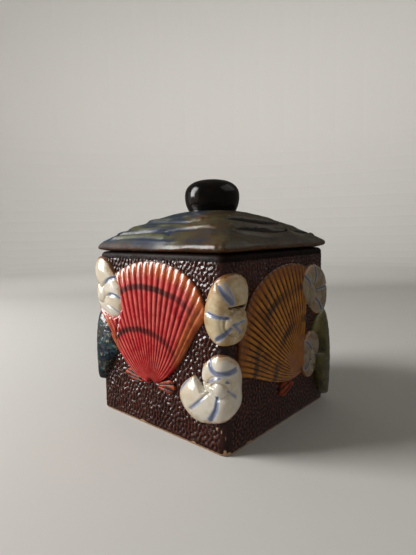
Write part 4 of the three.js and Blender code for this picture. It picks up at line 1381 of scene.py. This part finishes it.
# %% [markdown]
# ### Ear glaze
#
# The ears are fluted roughly. Their glaze is orange-brown and less glossy, dark in the grooves and with
# dark flecks.

# %% Ear glaze
EAR_GROOVE, EAR_CREST, DEEP_EAR_CREST, EAR_DARK_FLECK = (48, 18, 12), (186, 76, 36), (124, 46, 22), (44, 20, 14)


def ear_paint(tree):
    crest = between(tree, plus(tree, mask(tree, "rib"), noise(tree, 260.0, 4.0)), 0.8, 1.4)
    crests = drifting(tree, EAR_CREST, DEEP_EAR_CREST, 150.0)
    shell = over(tree, colour(*EAR_GROOVE), crests, crest)
    return over(tree, shell, EAR_DARK_FLECK, flecks(tree, 0.48, 0.62, 190.0, 4.0, 0.6), 0.9)


red_glaze = glaze("red_glaze", red_paint, gloss=0.16, waves=(350.0, 0.00008), pits=0.25, coat=0.5)
ochre_glaze = glaze("ochre_glaze", ochre_paint, gloss=0.2, waves=(350.0, 0.00008), pits=0.3, coat=0.4)
ear_glaze = glaze("ear_glaze", ear_paint, gloss=0.4, waves=(350.0, 0.0003), pits=0.4, specular=0.3)
for usual, pieces in ((red_glaze, red_pieces), (ochre_glaze, ochre_pieces)):
    finish([piece for piece in pieces if not piece.name.endswith("ear")], usual)
    finish([piece for piece in pieces if piece.name.endswith("ear")], ear_glaze)


# %% [markdown]
# ### Cream snails
#
# The snails are cream, with tan and a rusty line where the glaze is thin at the edges, and blue-grey strokes
# with a paler halo. They differ in warmth, so one function makes a paint for each group.

# %% Snail glazes
SPECK, TAN, RUST = (150, 110, 66), (186, 142, 88), (112, 66, 34)
INK_HALO, BLUE_INK, DARK_INK = (172, 178, 194), (96, 108, 142), (46, 54, 76)
SNAIL_WAVES = (260.0, 0.00009)


def cream_paint(pale, warm, warmth, ink):
    """The paint of one cream snail: its pale and its warm shade, how warm it is, and its stroke colour."""

    def paint(tree):
        edge = mask(tree, "edge")
        body = drifting(tree, pale, warm, 110.0, warmth)
        body = over(tree, body, SPECK, flecks(tree, 0.64, 0.74, 900.0, 2.0), 0.35 * warmth)
        body = over(tree, body, TAN, thin_edge(tree, edge, 0.2, 260.0), 0.6)
        body = over(tree, body, RUST, thin_edge(tree, edge, 0.065, 420.0), 0.85)
        ragged = plus(tree, mask(tree, "stroke"), times(tree, noise(tree, 500.0), 0.35))
        body = over(tree, body, INK_HALO, between(tree, ragged, 0.2, 0.7), 0.65)
        return over(tree, body, ink, between(tree, ragged, 0.55, 1.15), 0.8)

    return paint


white_paint = cream_paint((218, 211, 198), (198, 178, 144), 0.6, BLUE_INK)
tan_paint = cream_paint((202, 184, 150), (168, 138, 96), 1.0, BLUE_INK)
grey_paint = cream_paint((156, 142, 120), (124, 104, 78), 0.9, DARK_INK)
finish(white_snails, glaze("white_glaze", white_paint, gloss=0.16, waves=SNAIL_WAVES, pits=0.3, coat=0.5))
finish(cream_snails, glaze("cream_glaze", tan_paint, gloss=0.2, waves=SNAIL_WAVES, pits=0.4, coat=0.4))
finish(grey_snails, glaze("grey_glaze", grey_paint, gloss=0.22, waves=SNAIL_WAVES, pits=0.4, coat=0.4))

# %% [markdown]
# ### Clam and mussel
#
# The clam is olive with a paler margin, partly thin glaze and partly a painted highlight along its edge.
# The mussel is nearly black, with blue and sea-green where the glaze pools and pale flecks; the sea-green
# and pale flecks are partly its own mottling and partly painted sheen and glints. It ripples more than any
# other glaze.

# %% Clam and mussel glazes
OLIVE, DEEP_OLIVE, OLIVE_EDGE_AND_HIGHLIGHT = (92, 84, 36), (54, 50, 24), (128, 124, 76)
BLUE_BLACK, BROWN_BLACK, SEA_GREEN_AND_SHEEN = (22, 34, 48), (40, 38, 26), (50, 84, 88)
MUSSEL_BROWN, MUSSEL_PALE_AND_GLINT = (104, 70, 46), (160, 164, 132)


def green_paint(tree):
    # Partly painted highlight: the paler margin along the clam's edge.
    lip = thin_edge(tree, minus(tree, 1.0, mask(tree, "grow")), 0.08, 200.0)
    return over(tree, drifting(tree, OLIVE, DEEP_OLIVE, 70.0), OLIVE_EDGE_AND_HIGHLIGHT, lip, 0.7)


def mussel_paint(tree):
    body = drifting(tree, BLUE_BLACK, BROWN_BLACK, 90.0)
    # Partly painted sheen: the sea-green flecks.
    body = over(tree, body, SEA_GREEN_AND_SHEEN, flecks(tree, 0.5, 0.62, 190.0, 4.0, 0.6, 0.6), 0.8)
    body = over(tree, body, MUSSEL_BROWN, flecks(tree, 0.55, 0.66, 230.0, 3.0, 0.6), 0.7)
    # Partly painted glints: the pale flecks.
    return over(tree, body, MUSSEL_PALE_AND_GLINT, flecks(tree, 0.6, 0.7, 330.0, 3.0), 0.7)


green_glaze = glaze("green_glaze", green_paint, gloss=0.2, waves=(200.0, 0.00012), pits=0.3, coat=0.4)
mussel_glaze = glaze("mussel_glaze", mussel_paint, gloss=0.16, waves=(330.0, 0.0007), pits=0.3, coat=0.5)
finish([green_clam], green_glaze)
finish([blue_mussel], mussel_glaze)

# %% [markdown]
# ### Floating blue lid
#
# A floating glaze is blue where it is thick, green-grey where it thins and rust brown where it breaks
# over an edge. The waves' hollows pool blue, the right half is more olive, partly the glaze's own tone and
# partly painted shade on that slope, and the lip's lower edge is rust with ragged speckles, while the face
# of the lip is painted greyer as painted shade. The scooped hollows are painted a dark olive as painted
# shade and have a glaze of their own that mirrors little, because they lie in shade and would otherwise
# fill with the light of the room.

# %% Lid glazes
POOL_BLUE, POOL_GREY, THIN_GREEN, DEEP_THIN_GREEN = (40, 52, 76), (58, 64, 62), (96, 100, 80), (84, 80, 54)
LID_OLIVE_AND_SHADE, DEEP_LID_OLIVE_AND_SHADE, LID_BROWN, LENS_SHADE_BROWN = (86, 82, 58), (72, 58, 38), (120, 78, 40), (36, 31, 21)
LIP_SHADE_GREY, LIP_SPECK, LIP_RUST = (34, 38, 40), (92, 52, 18), (78, 46, 22)
HOLLOW_SHADE_OLIVE, DEEP_HOLLOW_SHADE_OLIVE = (38, 32, 20), (26, 24, 20)
LID_WAVES, HOLLOW_LIMIT = (150.0, 0.0004), 0.5 / 0.9


def lid_paint(tree):
    pool, lip, olive = mask(tree, "pool"), mask(tree, "lip"), mask(tree, "olive")
    thin = drifting(tree, THIN_GREEN, DEEP_THIN_GREEN, 80.0)
    # Partly painted shade: the right half turns olive and less blue, for its own tone and the slope's shade.
    thin = over(tree, thin, drifting(tree, LID_OLIVE_AND_SHADE, DEEP_LID_OLIVE_AND_SHADE, 60.0), olive)
    thick = minus(tree, plus(tree, pool, wander(tree, 1.6, 60.0, 4.0)), times(tree, olive, 0.65))
    body = over(tree, thin, drifting(tree, POOL_BLUE, POOL_GREY, 45.0), between(tree, thick, 0.15, 0.7))
    body = over(tree, body, LID_BROWN, flecks(tree, 0.6, 0.72, 240.0, 5.0, 0.65), 0.5)
    # Painted shade: the scooped hollows are painted dark brown.
    body = over(tree, body, LENS_SHADE_BROWN, between(tree, mask(tree, "lens"), 0.15, 0.6), 0.9)
    # Painted shade: the face of the lip is painted greyer.
    body = over(tree, body, LIP_SHADE_GREY, between(tree, lip, 0.0, 0.3), 0.3)
    rusty = plus(tree, plus(tree, lip, times(tree, olive, 0.2)), noise(tree, 45.0))
    specks = times(tree, flecks(tree, 0.51, 0.57, 420.0, 4.0, 0.65), between(tree, rusty, 0.55, 0.85))
    body = over(tree, body, LIP_SPECK, specks, 0.85)
    ragged_lip = plus(tree, lip, wander(tree, 2.2, 330.0, 4.0, 0.7))
    return over(tree, body, LIP_RUST, between(tree, ragged_lip, 0.52, 0.8))


# Painted shade: the scooped hollows' own glaze is a dark olive.
def hollow_shade_paint(tree):
    return drifting(tree, HOLLOW_SHADE_OLIVE, DEEP_HOLLOW_SHADE_OLIVE, 90.0)


lid_glaze = glaze("lid_glaze", lid_paint, gloss=0.3, waves=LID_WAVES, pits=0.5, dull=0.4)
shaded_hollow_glaze = glaze("shaded_hollow_glaze", hollow_shade_paint, gloss=0.36, waves=LID_WAVES, pits=0.5, specular=0.12)
finish([lid], lid_glaze, shaded_hollow_glaze)
second_finish_where(lid, "lens", HOLLOW_LIMIT)

# %% [markdown]
# ### Knob
#
# The knob is black with a hint of brown, and the smoothest part of the jar.

# %% Knob glaze
KNOB_BLACK, DEEP_KNOB_BLACK, KNOB_FLECK = (20, 14, 11), (9, 7, 6), (44, 30, 22)


def knob_paint(tree):
    body = drifting(tree, KNOB_BLACK, DEEP_KNOB_BLACK, 90.0)
    return over(tree, body, KNOB_FLECK, flecks(tree, 0.68, 0.78, 300.0))


finish([knob], glaze("knob_glaze", knob_paint, gloss=0.1, waves=(120.0, 0.0002), pits=0.2, specular=0.35))

# %% [markdown]
# ## Floor and backdrop
#
# The jar stands on a plain pale floor that curves up into a pale wall all round, so that every view has
# the same calm background. It is a profile turned about the middle line, as the knob is. The glaze does not
# mirror it, because the soft lights already stand for what the glaze would show.

# %% Floor and backdrop
FLOOR_FLAT, FLOOR_CURVE, BACKDROP_HEIGHT, FLOOR_DROP, FLOOR_COLUMNS = 1100.0, 500.0, 1500.0, 0.1, 96
bend = np.linspace(0, np.pi / 2, 16)
wall_radius = FLOOR_FLAT + FLOOR_CURVE
floor_radius = np.concatenate([[1.0, FLOOR_FLAT / 2], FLOOR_FLAT + FLOOR_CURVE * np.sin(bend), [wall_radius]])
floor_up = np.concatenate([[0, 0], FLOOR_CURVE * (1 - np.cos(bend)), [BACKDROP_HEIGHT]]) - FLOOR_DROP
floor_rings = turned_profile(floor_radius, floor_up, FLOOR_COLUMNS)
floor_points = np.concatenate([*floor_rings, [[0, 0, -FLOOR_DROP]]])
floor_middle = fan(np.arange(FLOOR_COLUMNS)[::-1], len(floor_points) - 1)
floor_faces = ring_quads(len(floor_radius), FLOOR_COLUMNS).tolist() + floor_middle.tolist()
floor_mesh = bpy.data.meshes.new("floor")
floor_mesh.from_pydata((floor_points * MM).tolist(), [], floor_faces)
floor = bpy.data.objects.new("floor", floor_mesh)
bpy.context.scene.collection.objects.link(floor)
floor.visible_glossy = False
floor_material = bpy.data.materials.new("floor")
floor_material.use_nodes = True
floor_shader = floor_material.node_tree.nodes["Principled BSDF"]
floor_shader.inputs["Base Color"].default_value = colour(216, 214, 210)
floor_shader.inputs["Roughness"].default_value = 0.9
floor_mesh.materials.append(floor_material)

# %% [markdown]
# ## Lights
#
# The main light is a large soft window to the left of the camera, as in the picture. It brightens the left
# wall and leaves the right wall in shade. Three weak lights stand for the room: the glow of the cloth on the
# left, a soft fill from the right, and the pale background behind the jar, which shows only as a sheen on
# the glaze. A fifth one is aimed at the backdrop.

# %% Lights
AIM = Vector((0, 0, 0.06))
BACKDROP_LAMP, BACKDROP_AWAY = Vector((-0.30, 0.34, 0.75)), Vector((0.70, -0.70, -0.12))


def soft_light(name, place, away, size, power, tint):
    """A soft rectangular light at a place in metres, which shines the other way from `away`."""
    data = bpy.data.lights.new(name, "AREA")
    data.shape = "RECTANGLE"
    data.size, data.size_y = size
    data.energy, data.color = power, tint
    lamp = bpy.data.objects.new(name, data)
    lamp.matrix_world = Matrix.Translation(place) @ away.to_track_quat("Z", "Y").to_matrix().to_4x4()
    bpy.context.scene.collection.objects.link(lamp)
    return lamp


def window(name, azimuth, elevation, distance, size, power, tint):
    """A soft light aimed at the jar. Azimuth 0 is in front of the red shell."""
    flat, rise = np.radians(azimuth), np.radians(elevation)
    toward = Vector((np.sin(flat) * np.cos(rise), -np.cos(flat) * np.cos(rise), np.sin(rise)))
    return soft_light(name, AIM + toward * distance, toward, size, power, tint)


window("window_light", -46, 27, 1.0, (0.42, 0.75), 12.0, (1.0, 0.99, 0.972))
window("cloth_glow", -48, 4, 1.2, (1.4, 0.7), 1.1, (1.0, 0.97, 0.94))
fill = window("soft_fill", 95, 40, 1.2, (1.0, 0.8), 0.45, (1.0, 0.97, 0.92))
fill.visible_glossy = False
sheen = window("background_sheen", 128, 44, 1.3, (1.3, 0.8), 1.6, (1.0, 0.98, 0.96))
sheen.visible_diffuse = False
glow = soft_light("backdrop_light", BACKDROP_LAMP, BACKDROP_AWAY, (1.2, 0.5), 7.2, (1.0, 0.99, 0.975))
glow.visible_glossy = False
print("lights:", sorted(light.name for light in bpy.data.lights))

# %% [markdown]
# ## The room and the view
#
# A dim even light fills the shadows, and the colours are shown without a film look, so that the shades above
# come out as they are written.

# %% Room
world = bpy.data.worlds.new("room")
world.use_nodes = True
background = world.node_tree.nodes["Background"]
background.inputs["Color"].default_value = colour(214, 209, 202)
background.inputs["Strength"].default_value = 0.12
bpy.context.scene.world = world
bpy.context.scene.view_settings.view_transform = "Standard"
